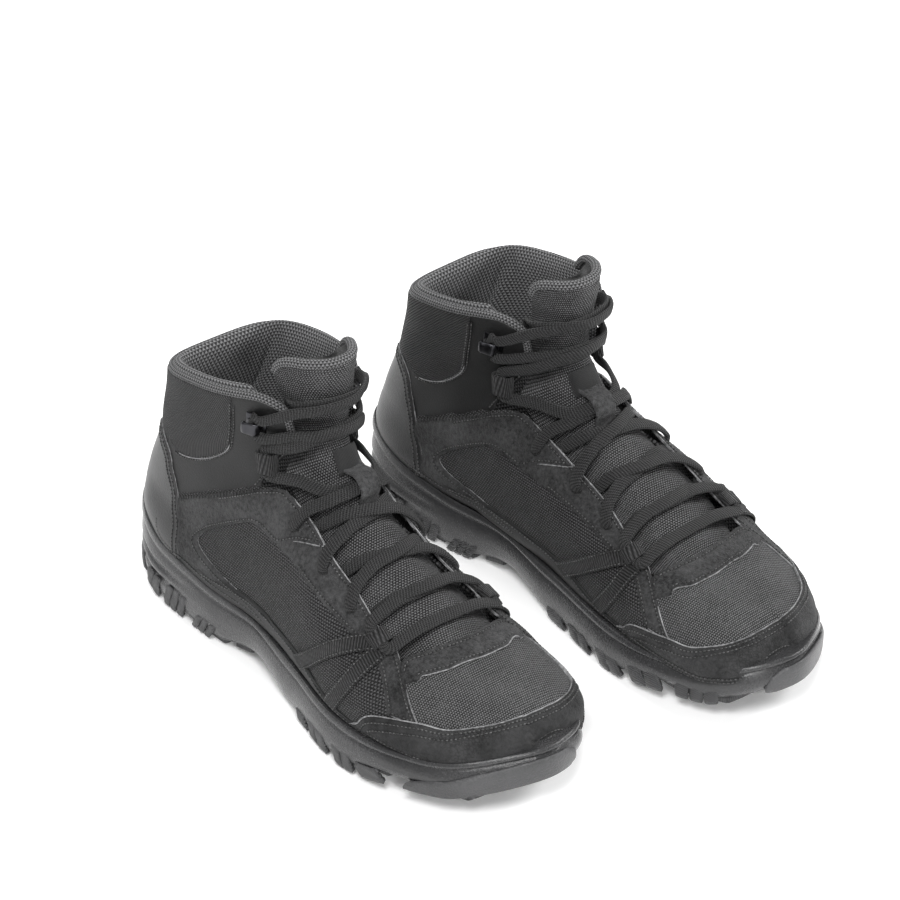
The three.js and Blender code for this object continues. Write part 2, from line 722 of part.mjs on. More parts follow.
// ---- The pieces of one boot ----
const colours = {
  rubber: ['#2b2c2e', 0.55, 0],
  foam: ['#3a3b3e', 0.6, 0],
  board: ['#c9c2b2', 0.9, 0],
  footbed: ['#4a4d52', 0.95, 0],
  stiffener: ['#b9b4a8', 0.8, 0],
  mesh: ['#77797d', 0.95, 0],
  tongueFabric: ['#6d6f73', 0.95, 0],
  fabric: ['#4c4e52', 0.9, 0],
  twill: ['#45474b', 0.9, 0],
  synthetic: ['#3d3f43', 0.65, 0],
  suede: ['#505256', 0.95, 0],
  webbing: ['#434549', 0.85, 0],
  lace: ['#36383b', 0.85, 0],
  metal: ['#6b6e74', 0.35, 1],
};

const pieces = [];
const add = (name, colour, geometry) => pieces.push({ name, colour, geometry: joinedVertices(geometry) });
const wrapped = (side) => [...side, ...mirrorOutline(side).map(([s, a]) => [s, a - 360]).reverse()];
const halves = [['outer', true], ['inner', false]];

add('outsole', 'rubber', outsole());
add('midsole', 'foam', midsole());
add('lasting_board', 'board', panel(wrapped(boardSide), ...level.board));
add('footbed', 'footbed', panel(wrapped(footbedSide), ...level.footbed));
add('toe_puff', 'stiffener', panel(bothSides(toePuffSide), ...level.stiffener));
add('heel_stiffener', 'stiffener', panel(wrapped(stiffenerSide), ...level.stiffener));
add('lining', 'mesh', panel(bothSides(liningSide), liningLow, liningHigh));
add('tongue', 'tongueFabric', panel(bothSides(tongueSide), tongueLow, tongueHigh));
const labelHeights = [gap, gap + labelThickness].map((height) => (s, a) => tongueHigh(s, a) + height);
add('tongue_label', 'synthetic', panel(labelOutline, ...labelHeights));
add('lace_keeper', 'suede', laceKeeper());
add('vamp', 'fabric', panel(vampOutline, ...level.upper));
add('back_panel', 'twill', panel(wrapped(backPanelSide), ...level.upper));
add('toe_rand', 'suede', panel(bothSides([[0.05, 43], ...randTop]), ...level.overlay));
add('throat_tab', 'suede', panel(throatOutline, ...level.overlay));
add('heel_counter', 'synthetic', panel(wrapped(counterSide), ...level.overlay));
halves.forEach(([side, outer]) => {
  const outline = (points) => (outer ? points : mirrorOutline(points));
  add(`quarter_${side}`, 'mesh', withLaceHoles(panel(outline(quarterOutline), ...level.upper), outer));
  add(`shaft_${side}`, 'synthetic', panel(outline(shaftOutline), ...level.upper));
  add(`eyestay_${side}`, 'suede', withLaceHoles(panel(outline(eyestayOutline), ...level.overlay), outer));
  add(`mudguard_${side}`, 'synthetic', panel(outline(mudguardOutline), ...level.overlay));
  add(`strap_${side}`, 'webbing', strap(outer));
  add(`ankle_loop_${side}`, 'webbing', webbingLoop(ankleLoop, outer, ankleLoopHeight));
  add(`hook_${side}`, 'metal', hook(outer));
});
add('lace', 'lace', cord(laceRoute, laceDiameter / 2, 5));

// ---- The pair ----
const pair = new THREE.Group();
[['left', 1], ['right', -1]].forEach(([boot, outwards]) => {
  const group = new THREE.Group();
  group.position.set(outwards * bootSpacing / 2, -outwards * bootStagger / 2, 0);
  group.rotation.z = THREE.MathUtils.degToRad(outwards * toeOut);
  pieces.forEach(({ name, colour, geometry }) => {
    const placed = geometry.clone().translate(0, -outsoleLength / 2, 0).scale(outwards, -1, 1);
    if (outwards > 0) flip(placed);
    const [tone, roughness, metalness] = colours[colour];
    const material = new THREE.MeshStandardMaterial({ color: tone, roughness, metalness });
    const mesh = new THREE.Mesh(placed, material);
    mesh.name = `${boot}_${name}`;
    group.add(mesh);
  });
  pair.add(group);
});

// The origin is the middle of the pair's box, on the ground.
const box = new THREE.Box3().setFromObject(pair, true);
const middle = box.getCenter(new THREE.Vector3());
pair.position.set(-middle.x, -middle.y, -box.min.z);

export default pair;
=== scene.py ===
import math

import bmesh
import bpy
import numpy as np
from mathutils import Matrix, Vector
from mathutils.kdtree import KDTree


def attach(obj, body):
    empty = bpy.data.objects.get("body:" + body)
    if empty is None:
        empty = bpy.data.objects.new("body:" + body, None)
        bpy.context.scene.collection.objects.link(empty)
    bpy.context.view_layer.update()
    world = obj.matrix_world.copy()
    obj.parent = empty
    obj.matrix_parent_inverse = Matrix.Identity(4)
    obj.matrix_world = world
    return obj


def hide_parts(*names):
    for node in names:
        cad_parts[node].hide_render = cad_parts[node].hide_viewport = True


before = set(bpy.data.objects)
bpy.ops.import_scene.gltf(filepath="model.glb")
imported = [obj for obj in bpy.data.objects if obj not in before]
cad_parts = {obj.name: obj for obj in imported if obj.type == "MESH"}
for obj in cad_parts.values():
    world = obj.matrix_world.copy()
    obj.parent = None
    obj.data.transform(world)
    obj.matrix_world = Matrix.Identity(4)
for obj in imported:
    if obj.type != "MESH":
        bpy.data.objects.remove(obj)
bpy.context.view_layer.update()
print("frame loaded")

view = {
    "azimuth": -40.3, "elevation": 32.73, "distance": 2.26,
    "target": (0.0347, 0.0596, 0.061), "lens": 177.7,
}


def makeCamera():
    turn, lift = math.radians(view["azimuth"]), math.radians(view["elevation"])
    back = Vector((math.sin(turn) * math.cos(lift), -math.cos(turn) * math.cos(lift), math.sin(lift)))
    data = bpy.data.cameras.new("camera")
    data.lens = view["lens"]
    data.clip_end = 20
    camera = bpy.data.objects.new("camera", data)
    camera.location = Vector(view["target"]) + back * view["distance"]
    camera.rotation_euler = back.to_track_quat("Z", "Y").to_euler()
    bpy.context.scene.collection.objects.link(camera)
    bpy.context.scene.camera = camera


studio = {
    "sky": 0.30, "floorGlow": 0.12,
    "lights": [  # place, aim, size, power
        ((-1.1, -0.9, 1.9), (0, 0, 0.05), 0.8, 44),
        ((1.6, -0.7, 1.3), (0, 0, 0.05), 0.7, 36),
        ((0.3, 1.9, 1.4), (0, 0, 0.1), 1.1, 34),
        ((-0.7, -1.3, 0.9), (0, 0, 0.03), 0.2, 7),
    ],
}


def makeLights():
    world = bpy.data.worlds.new("studio")
    world.use_nodes = True
    world.node_tree.nodes["Background"].inputs["Color"].default_value = (1, 1, 1, 1)
    world.node_tree.nodes["Background"].inputs["Strength"].default_value = studio["sky"]
    bpy.context.scene.world = world
    for place, aim, size, power in studio["lights"]:
        data = bpy.data.lights.new("softbox", "AREA")
        data.size = size
        data.energy = power
        light = bpy.data.objects.new("softbox", data)
        light.location = place
        light.rotation_euler = (Vector(place) - Vector(aim)).to_track_quat("Z", "Y").to_euler()
        bpy.context.scene.collection.objects.link(light)


def makeFloor():
    bm = bmesh.new()
    bmesh.ops.create_grid(bm, x_segments=1, y_segments=1, size=30)
    mesh = bpy.data.meshes.new("floor")
    bm.to_mesh(mesh)
    bm.free()
    floor = bpy.data.objects.new("floor", mesh)
    floor.location.z = -0.0005
    bpy.context.scene.collection.objects.link(floor)
    paper = Finish("paper", (0.93, 0.93, 0.93), 0.9)
    paper.shader.inputs["Emission Color"].default_value = (1, 1, 1, 1)
    paper.shader.inputs["Emission Strength"].default_value = studio["floorGlow"]
    mesh.materials.append(paper.material)


def mathOperator(operation, swapped=False):
    def operate(wire, other):
        return wire.math(operation, other, swapped)
    return operate


class Wire:  # a socket that takes part in sums: each operation adds its Math node
    __add__ = __radd__ = mathOperator("ADD")
    __sub__ = mathOperator("SUBTRACT")
    __rsub__ = mathOperator("SUBTRACT", True)
    __mul__ = __rmul__ = mathOperator("MULTIPLY")
    __truediv__ = mathOperator("DIVIDE")
    atMost = mathOperator("MINIMUM")
    atLeast = mathOperator("MAXIMUM")

    def __init__(self, finish, socket):
        self.finish = finish
        self.socket = socket

    def math(self, operation, other=0.0, swapped=False):
        pair = (other, self) if swapped else (self, other)
        return self.finish.node("ShaderNodeMath", {"operation": operation}, {0: pair[0], 1: pair[1]})

    def wave(self):  # 0 to 1 and back, once for each whole number
        return (self * (2 * math.pi)).math("SINE") * 0.5 + 0.5

    def size(self):
        return self.math("ABSOLUTE")

    def whole(self):
        return self.math("FLOOR")


class Finish:  # a material, its shader and the one method that adds any node
    def __init__(self, name, colour, roughness, metallic=0.0, sheen=0.0, gloss=0.5):
        self.material = bpy.data.materials.new(name)
        self.material.use_nodes = True
        self.tree = self.material.node_tree
        self.shader = self.tree.nodes["Principled BSDF"]
        self.shader.inputs["Base Color"].default_value = (*colour, 1)
        self.shader.inputs["Roughness"].default_value = roughness
        self.shader.inputs["Metallic"].default_value = metallic
        self.shader.inputs["Sheen Weight"].default_value = sheen
        self.shader.inputs["Sheen Roughness"].default_value = 0.4
        self.shader.inputs["Specular IOR Level"].default_value = gloss
        self.colour = colour

    def node(self, kind, settings=None, values=None, out=0):
        node = self.tree.nodes.new(kind)
        for key, value in (settings or {}).items():
            setattr(node, key, value)
        for key, value in (values or {}).items():
            if isinstance(value, Wire):
                self.tree.links.new(value.socket, node.inputs[key])
            else:
                node.inputs[key].default_value = value
        return Wire(self, node.outputs[out])

    def feed(self, name, wire):
        self.tree.links.new(wire.socket, self.shader.inputs[name])

    def cloth(self):  # the piece's own pattern in millimetres: across and along
        uv = self.node("ShaderNodeUVMap", {"uv_map": "cloth"})
        apart = self.tree.nodes.new("ShaderNodeSeparateXYZ")
        self.tree.links.new(uv.socket, apart.inputs[0])
        return Wire(self, apart.outputs[0]) * 1000, Wire(self, apart.outputs[1]) * 1000

    def place(self):
        return self.node("ShaderNodeTexCoord", None, None, 3)

    def speckle(self, scale, detail=3.0, rough=0.6, gain=1.0):
        values = {"Vector": self.place(), "Scale": scale, "Detail": detail, "Roughness": rough}
        noise = self.node("ShaderNodeTexNoise", None, values)
        return noise if gain == 1.0 else ((noise - 0.5) * gain + 0.5).atLeast(0.0).atMost(1.0)

    def paint(self, amount, dark, light):  # from dark to light shades of the finish's own colour
        shades = [tuple(c * k for c in self.colour) + (1,) for k in (dark, light)]
        values = {0: amount, 6: shades[0], 7: shades[1]}
        self.feed("Base Color", self.node("ShaderNodeMix", {"data_type": "RGBA"}, values, 2))

    def emboss(self, height, depth, strength=1.0):
        values = {"Height": height, "Distance": depth, "Strength": strength}
        self.feed("Normal", self.node("ShaderNodeBump", None, values))


def suedeFinish(name="suede", shade=0.032, pebbled=0.0):
    f = Finish(name, (shade, shade, shade * 1.02), 0.85, sheen=0.06, gloss=0.3)
    nap = f.speckle(480, 4, 0.75, 3.2)
    cloud = f.speckle(45, 3, 0.6, 2.4)
    height = nap
    if pebbled:
        cells = f.node("ShaderNodeTexVoronoi", {"feature": "DISTANCE_TO_EDGE"},
                       {"Vector": f.place(), "Scale": 620.0})
        worn = ((f.speckle(16, 2, 0.5) - 0.5) * 6).atMost(1.0).atLeast(0.0)
        height = nap * 0.5 + (cells * 5).atMost(1.0) * worn * pebbled
    f.paint(height * 0.65 + cloud * 0.6 - 0.15, 0.2, 2.0)
    f.emboss(height, 0.0006, 0.8)
    return f


def syntheticFinish(name="synthetic", shade=0.018, roughness=0.5):
    f = Finish(name, (shade, shade, shade * 1.02), roughness, gloss=0.4)
    grain = f.speckle(1400, 2, 0.5, 2.2)
    cloud = f.speckle(30, 2, 0.5, 1.8)
    f.paint(cloud * 0.6 + grain * 0.5 - 0.05, 0.4, 1.6)
    f.emboss(grain, 0.00015, 0.6)
    return f


def wovenFinish(name, shade, pitch, depth=0.0004, contrast=(0.3, 1.9), rows=1.0):
    f = Finish(name, (shade, shade, shade * 1.02), 0.8, sheen=0.05, gloss=0.3)
    across, along = f.cloth()
    row = (along / (pitch * rows)).whole()
    warp = (across / pitch + row * 0.5).wave()
    weft = (along / (pitch * rows)).wave()
    height = warp * weft * 1.4 + warp * 0.2
    wear = f.speckle(60, 3, 0.6)
    fleck = f.speckle(1100, 1, 0.4, 2.0)
    f.paint(height * 0.8 + wear * 0.35 + fleck * 0.35 - 0.4, *contrast)
    f.emboss(height, depth)
    return f


def twillFinish(name, shade, pitch, lean=1.0, depth=0.0003, contrast=(0.35, 1.8), flecks=0.3):
    f = Finish(name, (shade, shade, shade * 1.02), 0.8, sheen=0.05, gloss=0.3)
    across, along = f.cloth()
    rib = ((across * lean + along) / pitch).wave()
    thread = ((across * -lean + along) / (pitch * 0.8)).wave()
    height = rib * 0.65 + rib * thread * 0.45
    wear = f.speckle(50, 3, 0.6)
    fleck = f.speckle(1500, 1, 0.4)
    f.paint(height * 0.8 + wear * 0.35 + fleck * flecks - 0.3, *contrast)
    f.emboss(height, depth)
    return f


def spacerMeshFinish(name, shade, pitch, depth=0.0009, contrast=(0.12, 1.7)):
    f = Finish(name, (shade, shade, shade * 1.02), 0.9, sheen=0.1, gloss=0.25)
    across, along = f.cloth()
    one = (across / pitch).wave()
    two = (across * 0.5 / pitch + along * 0.866 / pitch).wave()
    three = (across * 0.5 / pitch - along * 0.866 / pitch).wave()
    hole = (one + two + three) / 3
    height = ((0.60 - hole) * 4).atMost(1.0).atLeast(0.0)
    fluff = f.speckle(1500, 2, 0.6)
    f.paint(height * 0.85 + fluff * 0.4 - 0.15, *contrast)
    f.emboss(height + fluff * 0.3, depth)
    return f


def rubberFinish(name, shade, roughness, ribs=0.0, grainDepth=0.0002):
    f = Finish(name, (shade, shade, shade * 1.03), roughness)
    grain = f.speckle(1100, 2, 0.6, 2.0)
    cloud = f.speckle(35, 3, 0.6, 1.6)
    if ribs:
        across, along = f.cloth()
        rib = ((across * 0.8 + along) / ribs).wave()
        f.emboss(rib + grain * 0.2, 0.0004)
        f.paint(rib * 0.7 + cloud * 0.5 - 0.1, 0.45, 1.6)
    else:
        f.emboss(grain, grainDepth, 0.6)
        f.paint(cloud * 0.8 + grain * 0.5 - 0.15, 0.55, 1.45)
        f.feed("Roughness", cloud * 0.2 + grain * 0.1 + (roughness - 0.15))
    return f


def braidFinish():
    f = Finish("lace_braid", (0.021, 0.021, 0.0212), 0.8, sheen=0.04, gloss=0.3)
    across, along = f.cloth()
    rib = (along / 1.5 + (across / 2.6 - 0.5).size() * 0.7).wave()
    fine = (across / 0.9).wave()
    fluff = f.speckle(1500, 2, 0.6)
    height = rib * 0.6 + fine * 0.4
    f.paint(height * 0.9 + fluff * 0.6 - 0.3, 0.1, 2.3)
    f.emboss(height, 0.0007)
    return f


def metalFinish():
    f = Finish("gunmetal", (0.055, 0.055, 0.06), 0.3, metallic=1.0)
    scratch = f.speckle(400, 4, 0.7)
    f.feed("Roughness", scratch * 0.2 + 0.24)
    f.emboss(scratch, 0.00005, 0.5)
    return f


def threadFinish(name="thread", shade=0.045):
    f = Finish(name, (shade, shade, shade), 0.45, gloss=0.5)
    # the light flecks painted on the thread are painted glints
    f.paint(f.speckle(600, 2, 0.5, 3.0), 0.3, 2.6)
    return f


finishes = {
    "suede": suedeFinish(),
    "synthetic": syntheticFinish(),
    "shaft": syntheticFinish("shaft_synthetic", 0.008, 0.6),
    "counter": syntheticFinish("counter_film", 0.021, 0.38),
    "rand": suedeFinish("rand_suede", 0.026, 0.8),
    "toeWeave": wovenFinish("ballistic_weave", 0.080, 1.2, 0.0004, (0.12, 2.3)),
    "ribMesh": wovenFinish("ribbed_mesh", 0.040, 1.6, 0.0007, (0.05, 2.7), 0.8),
    "twill": twillFinish("collar_twill", 0.011, 2.0, 1.0, 0.0005, (0.05, 3.2), 0.7),
    "tongueWeave": wovenFinish("tongue_weave", 0.074, 1.1, 0.0005, (0.05, 2.5), 1.1),
    "spacerMesh": spacerMeshFinish("spacer_mesh", 0.13, 1.9),
    "trimMesh": spacerMeshFinish("trim_mesh", 0.11, 1.5, 0.0005, (0.12, 1.7)),
    "webbing": twillFinish("webbing_weave", 0.020, 1.5, 0.2, 0.0006, (0.08, 2.7)),
    "lace": braidFinish(),
    "metal": metalFinish(),
    "midsole": rubberFinish("midsole_foam", 0.032, 0.24),
    "outsole": rubberFinish("outsole_rubber", 0.030, 0.5),
    "bumper": rubberFinish("bumper_rubber", 0.052, 0.4, 0.0, 0.0004),
    "lugs": rubberFinish("lug_rubber", 0.050, 0.45, 1.2),
    "thread": threadFinish(),
    # needle holes: near-black dots of painted shade
    "needleHoleShade": threadFinish("needle_hole_shade", 0.0015),
    "darkThread": threadFinish("dark_thread", 0.006),
    "mudguard": syntheticFinish("mudguard_synthetic", 0.012, 0.6),
    # pale edges: partly the raw cut of the suede, partly a painted highlight along edges that catch the light
    "cutEdgeAndHighlight": suedeFinish("cut_edge_and_highlight", 0.20),
    "label": twillFinish("label_weave", 0.020, 0.8, 1.0, 0.0002),
    # the board and stiffener colours are dark painted shade for the inside of the boot
    "footbed": suedeFinish("footbed_felt", 0.05),
    "board": suedeFinish("board_painted_shade", 0.06),
    "stiffener": syntheticFinish("stiffener_painted_shade", 0.05, 0.7),
}
print("finishes made")

# the last, in millimetres: a bent tube from the toe tip (station 0) round the heel to the collar
last = {
    "backF": (288, 280, 262, 235, 205, 165, 110, 50, 14, 10, 22, 31, 37, 40),
    "backZ": (28, 23, 21, 20, 20, 21, 24, 28, 34, 56, 88, 114, 137, 150),
    "frontF": (289, 280, 260, 231, 203, 174, 157, 147, 142, 139, 138, 139, 141, 143),
    "frontZ": (32, 43, 51, 60, 73, 89, 103, 114, 123, 131, 138, 148, 159, 171),
    "outer": (4, 27, 42, 49, 50, 45, 38, 35, 34, 33, 33, 35, 37, 38),
    "inner": (4, 26, 39, 45, 44, 39, 35, 33, 32, 31, 32, 34, 36, 37),
    "shift": (-10, -9, -6, -2, 0, 1, 0, 0, 0, 0, 0, 0, 0, 0),
    "middleF": 149, "insideTurn": 8,
}
last = {k: np.array(v, float) if isinstance(v, tuple) else v for k, v in last.items()}
midline = 180 + last["insideTurn"] / 2
boot = {"spacing": 0.141, "stagger": 0.0203, "toeOut": 1.6, "shiftY": -0.0009438}


def spline(values, t):
    count = len(values)
    i = np.clip(np.floor(t).astype(int), 0, count - 2)
    s = t - i
    ends = np.concatenate(([2 * values[0] - values[1]], values, [2 * values[-1] - values[-2]]))
    p0, p1, p2, p3 = (ends[i + k] for k in range(4))
    cubic = -p0 + 3 * p1 - 3 * p2 + p3
    square = 2 * p0 - 5 * p1 + 4 * p2 - p3
    return 0.5 * (2 * p1 + (p2 - p0) * s + square * s * s + cubic * s ** 3)


def lastPoint(s, a):
    angle = np.radians(a)
    rise = (1 - np.cos(angle)) / 2
    belly = rise ** 0.64
    width = np.maximum(1 - np.abs(2 * belly - 1) ** 2.3, 0) ** (1 / 2.3)
    half = np.where(np.sin(angle) >= 0, spline(last["outer"], s), -spline(last["inner"], s))
    backF, backZ = spline(last["backF"], s), spline(last["backZ"], s)
    x = spline(last["shift"], s) + half * width
    f = backF + (spline(last["frontF"], s) - backF) * rise
    z = backZ + (spline(last["frontZ"], s) - backZ) * rise
    return np.stack([x, last["middleF"] - f, z], -1) / 1000


def normalAt(s, a):
    around = lastPoint(s, a + 0.6) - lastPoint(s, a - 0.6)
    up = lastPoint(s + 0.03, a) - lastPoint(s - 0.03, a)
    n = np.cross(up, around)
    return n / np.linalg.norm(n, axis=-1, keepdims=True)


def surface(s, a, h):
    s, a, h = np.broadcast_arrays(np.asarray(s, float), np.asarray(a, float), np.asarray(h, float))
    return lastPoint(s, a) + normalAt(s, a) * h[..., None] / 1000


def smoothstep(x, low, high):
    t = np.clip((np.asarray(x, float) - low) / (high - low), 0, 1)
    return t * t * (3 - 2 * t)


def innerAngle(a):
    return 360 - a + last["insideTurn"] * smoothstep(a, 50, 110)


def inner(places):  # the same places on the inner side
    return [(s, float(innerAngle(a))) for s, a in places]


def onSide(which, places):
    return places if which == "outer" else inner(places)


def wrapped(places):  # an outline that starts at the heel's middle, closed over both sides
    return list(places) + [(s, float(innerAngle(a)) - 360) for s, a in reversed(places)]


def overToe(places):
    return list(places) + inner(list(reversed(places)))


def curve(points, closed, gap):
    # a smooth line through the points, evenly spaced; a point given twice is a corner
    points = np.array(points, float)
    count = len(points)
    spans = count if closed else count - 1
    line = []
    for k in range(spans):
        pick = [(k + d) % count if closed else min(max(k + d, 0), count - 1) for d in (-1, 0, 1, 2)]
        p0, p1, p2, p3 = points[pick]
        if np.allclose(p1, p2):
            continue
        for t in np.linspace(0, 1, 16, endpoint=False):
            line.append(0.5 * (2 * p1 + (p2 - p0) * t + (2 * p0 - 5 * p1 + 4 * p2 - p3) * t * t
                               + (3 * p1 - p0 - 3 * p2 + p3) * t ** 3))
    line.append(points[0] if closed else points[-1])
    return spaced(np.array(line), gap, closed)


def spaced(line, gap, closed):
    steps = np.linalg.norm(np.diff(line, axis=0), axis=1)
    run = np.concatenate(([0], np.cumsum(steps)))
    count = max(int(round(run[-1] / gap)), 3)
    at = np.linspace(0, run[-1], count, endpoint=not closed)
    return np.stack([np.interp(at, run, line[:, k]) for k in range(line.shape[1])], -1)


class UpperPattern:  # a flat cut: millimetres round the boot at one station, and along it at one angle
    def __init__(self, station, angle, swells=True):
        self.swells = swells
        half = 180 * np.linspace(0, 1, 500) ** 2.2
        self.a = np.unique(np.concatenate([-half, half, 360 - half]))
        self.s = np.linspace(-0.2, 13.7, 520)
        self.x = self.lengths(lastPoint(np.full_like(self.a, station), self.a))
        self.y = self.lengths(lastPoint(self.s, np.full_like(self.s, angle)))

    def lengths(self, line):
        return np.concatenate(([0], np.cumsum(np.linalg.norm(np.diff(line, axis=0), axis=1)))) * 1000

    def flat(self, places):
        s, a = np.array(places, float).T
        return np.stack([np.interp(a, self.a, self.x), np.interp(s, self.s, self.y)], -1)

    def places(self, xy):
        return np.interp(xy[:, 1], self.y, self.s), np.interp(xy[:, 0], self.x, self.a)

    def lift(self, xy, h):
        s, a = self.places(xy)
        return surface(s, a, h + (swell(s, a) + footSwell(s, a) if self.swells else 0))


def outwardNormals(line, closed=True):
    ahead = np.roll(line, -1, 0) - np.roll(line, 1, 0)
    if not closed:
        ahead[0], ahead[-1] = line[1] - line[0], line[-1] - line[-2]
    ahead /= np.linalg.norm(ahead, axis=1, keepdims=True) + 1e-9
    return np.stack([ahead[:, 1], -ahead[:, 0]], -1)


def signedArea(line):
    nxt = np.roll(line, -1, 0)
    return float(np.sum(line[:, 0] * nxt[:, 1] - nxt[:, 0] * line[:, 1]) / 2)


def anticlockwise(line):
    return line[::-1] if signedArea(line) < 0 else line


def distanceTo(points, line):
    best = np.full(len(points), 1e9)
    for a, b in zip(line, np.roll(line, -1, 0)):
        d = b - a
        t = np.clip(((points - a) @ d) / max(d @ d, 1e-12), 0, 1)
        best = np.minimum(best, np.linalg.norm(points - a - t[:, None] * d, axis=1))
    return best


def bothBoots(name, bm, finish, replaced=(), extras=(), modifiers=(), recalc=True):
    # a piece is made once in a boot's own frame, then placed in both boots
    if recalc:
        bmesh.ops.recalc_face_normals(bm, faces=bm.faces)
    made = []
    for side, outwards in (("left", 1), ("right", -1)):
        copy = bm.copy()
        place = Matrix.Translation((outwards * boot["spacing"] / 2,
                                    -outwards * boot["stagger"] / 2 + boot["shiftY"], 0))
        place = place @ Matrix.Rotation(math.radians(outwards * boot["toeOut"]), 4, "Z")
        place = place @ Matrix.Diagonal((outwards, 1, 1, 1))
        bmesh.ops.transform(copy, matrix=place, verts=copy.verts)
        if outwards < 0:
            bmesh.ops.reverse_faces(copy, faces=copy.faces)
        mesh = bpy.data.meshes.new(f"{side}_{name}")
        copy.to_mesh(mesh)
        copy.free()
        mesh.shade_smooth()
        piece = bpy.data.objects.new(f"{side}_{name}", mesh)
        bpy.context.scene.collection.objects.link(piece)
        for each in (finish, *extras):
            mesh.materials.append(finishes[each].material)
        for add in modifiers:
            add(piece)
        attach(piece, f"{side}_boot")
        if replaced:
            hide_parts(*(f"{side}_{node}" for node in replaced))
        made.append(piece)
    bm.free()
    return made


def thickness(amount, rim=0):
    def add(piece):
        modifier = piece.modifiers.new("thickness", "SOLIDIFY")
        modifier.thickness = amount / 1000
        modifier.offset = -1
        modifier.material_offset_rim = rim
    return add


def rounding(levels=1):
    def add(piece):
        modifier = piece.modifiers.new("rounding", "SUBSURF")
        modifier.levels = levels
        modifier.render_levels = levels
    return add


def paintUv(bm, uvOf):
    layer = bm.loops.layers.uv.new("cloth")
    for face in bm.faces:
        for loop in face.loops:
            loop[layer].uv = uvOf[loop.vert.index]


def cutPanel(pattern, outline, height, edge, cell=2.5, uv="side", smooth=1.6):
    # the cloth is cut flat, gets a few rings along its edge, is divided and laid on the last
    line = anticlockwise(curve(pattern.flat(outline), True, smooth))
    bm = bmesh.new()
    face = bm.faces.new([bm.verts.new((x, y, 0)) for x, y in line])
    bm.normal_update()
    for step, _ in edge:
        bmesh.ops.inset_region(bm, faces=[face], thickness=step, use_even_offset=True)
    low, high = line.min(0), line.max(0)
    inside = [face]
    for axis, normal in enumerate(((1, 0, 0), (0, 1, 0))):
        for at in np.arange(math.ceil(low[axis] / cell) * cell, high[axis], cell):
            inside = [f for f in inside if f.is_valid]
            geom = list({e for f in inside for e in f.edges} | {v for f in inside for v in f.verts}) + inside
            point = [at * n for n in normal]
            cut = bmesh.ops.bisect_plane(bm, geom=geom, plane_co=point, plane_no=normal, dist=1e-4)
            inside = list({g for g in cut["geom"] if isinstance(g, bmesh.types.BMFace)} | set(inside))
    flat = np.array([v.co[:2] for v in bm.verts])
    reach = np.concatenate(([0], np.cumsum([step for step, _ in edge])))
    drop = np.interp(distanceTo(flat, line), reach, [d for _, d in edge] + [0])
    s, a = pattern.places(flat)
    placed = pattern.lift(flat, (height(s, a) if callable(height) else height) - drop)
    for v, p in zip(bm.verts, placed):
        v.co = p
    bmesh.ops.reverse_faces(bm, faces=bm.faces)
    bm.verts.index_update()
    paintUv(bm, clothUv(placed, flat, s, a, uv))
    return bm


def clothUv(placed, flat, s, a, style):
    if style == "side":
        return placed[:, 1:3]
    if style == "flat":
        return flat / 1000
    return np.stack([arcFromMiddle(s, a), placed[:, 1] if style == "top" else placed[:, 2]], -1)


def arcFromMiddle(s, a):
    start = midline if np.mean(a) > 90 else 0.0
    turns = np.linspace(0, 1, 40)
    angles = start + (a[:, None] - start) * turns[None, :]
    line = lastPoint(np.repeat(s[:, None], 40, 1), angles)
    arc = np.linalg.norm(np.diff(line, axis=1), axis=2).sum(1)
    return arc * np.sign(a - start)


def loft(rings, closed=True, capped=True, uv=None):
    # a body whose sections are the rows of rings, drawn on a grid that is bent and welded
    rings = np.asarray(rings, float)
    count, around = rings.shape[:2]
    if closed:
        rings = np.concatenate([rings, rings[:, :1]], 1)
        around += 1
    bm = bmesh.new()
    bmesh.ops.create_grid(bm, x_segments=around - 1, y_segments=count - 1, size=1)
    bm.verts.ensure_lookup_table()
    flatRings = rings.reshape(-1, 3)
    if uv is None:
        run = np.linalg.norm(np.diff(rings, axis=0), axis=2).mean(1)
        along = np.concatenate(([0], np.cumsum(run)))
        turn = np.linalg.norm(np.diff(rings, axis=1), axis=2).mean(0)
        across = np.concatenate(([0], np.cumsum(turn)))
        uv = np.stack(np.meshgrid(across, along), -1)
    flatUv = np.asarray(uv, float).reshape(-1, 2)
    for v, p in zip(bm.verts, flatRings):
        v.co = p
    bm.verts.index_update()
    paintUv(bm, flatUv)
    if closed:
        bmesh.ops.remove_doubles(bm, verts=bm.verts, dist=1e-6)
    if capped:
        bmesh.ops.holes_fill(bm, edges=[e for e in bm.edges if e.is_boundary], sides=0)
    return bm


def sweep(centres, normals, section, widths=None):
    # section is (across, up) in metres; normals point away from the boot
    centres, normals = np.asarray(centres), np.asarray(normals)
    ahead = np.gradient(centres, axis=0)
    ahead /= np.linalg.norm(ahead, axis=1, keepdims=True)
    across = np.cross(ahead, normals)
    across /= np.linalg.norm(across, axis=1, keepdims=True)
    up = np.cross(across, ahead)
    wide, tall = np.ones((2, len(centres))) if widths is None else np.array(widths).T
    aside = across[:, None] * section[:, :1] * wide[:, None, None]
    above = up[:, None] * section[:, 1:] * tall[:, None, None]
    return loft(centres[:, None] + aside + above)


def oval(width, height, sides, power=2.0):
    turn = np.linspace(0, 2 * math.pi, sides, endpoint=False)
    c, s = np.cos(turn), np.sin(turn)
    return np.stack([np.sign(c) * np.abs(c) ** (2 / power) * width / 2,
                     np.sign(s) * np.abs(s) ** (2 / power) * height / 2], -1)


thread = {
    "pitch": 2.1, "length": 1.35, "width": 0.8, "hole": 1.25,
    "tick": 3.4, "tickPitch": 2.6, "tickWidth": 0.85,
}
# holes holds the needle holes, drawn as dots of painted shade
stitches, ticks, holes = [], [], []  # place, direction, outward normal, length and width of each


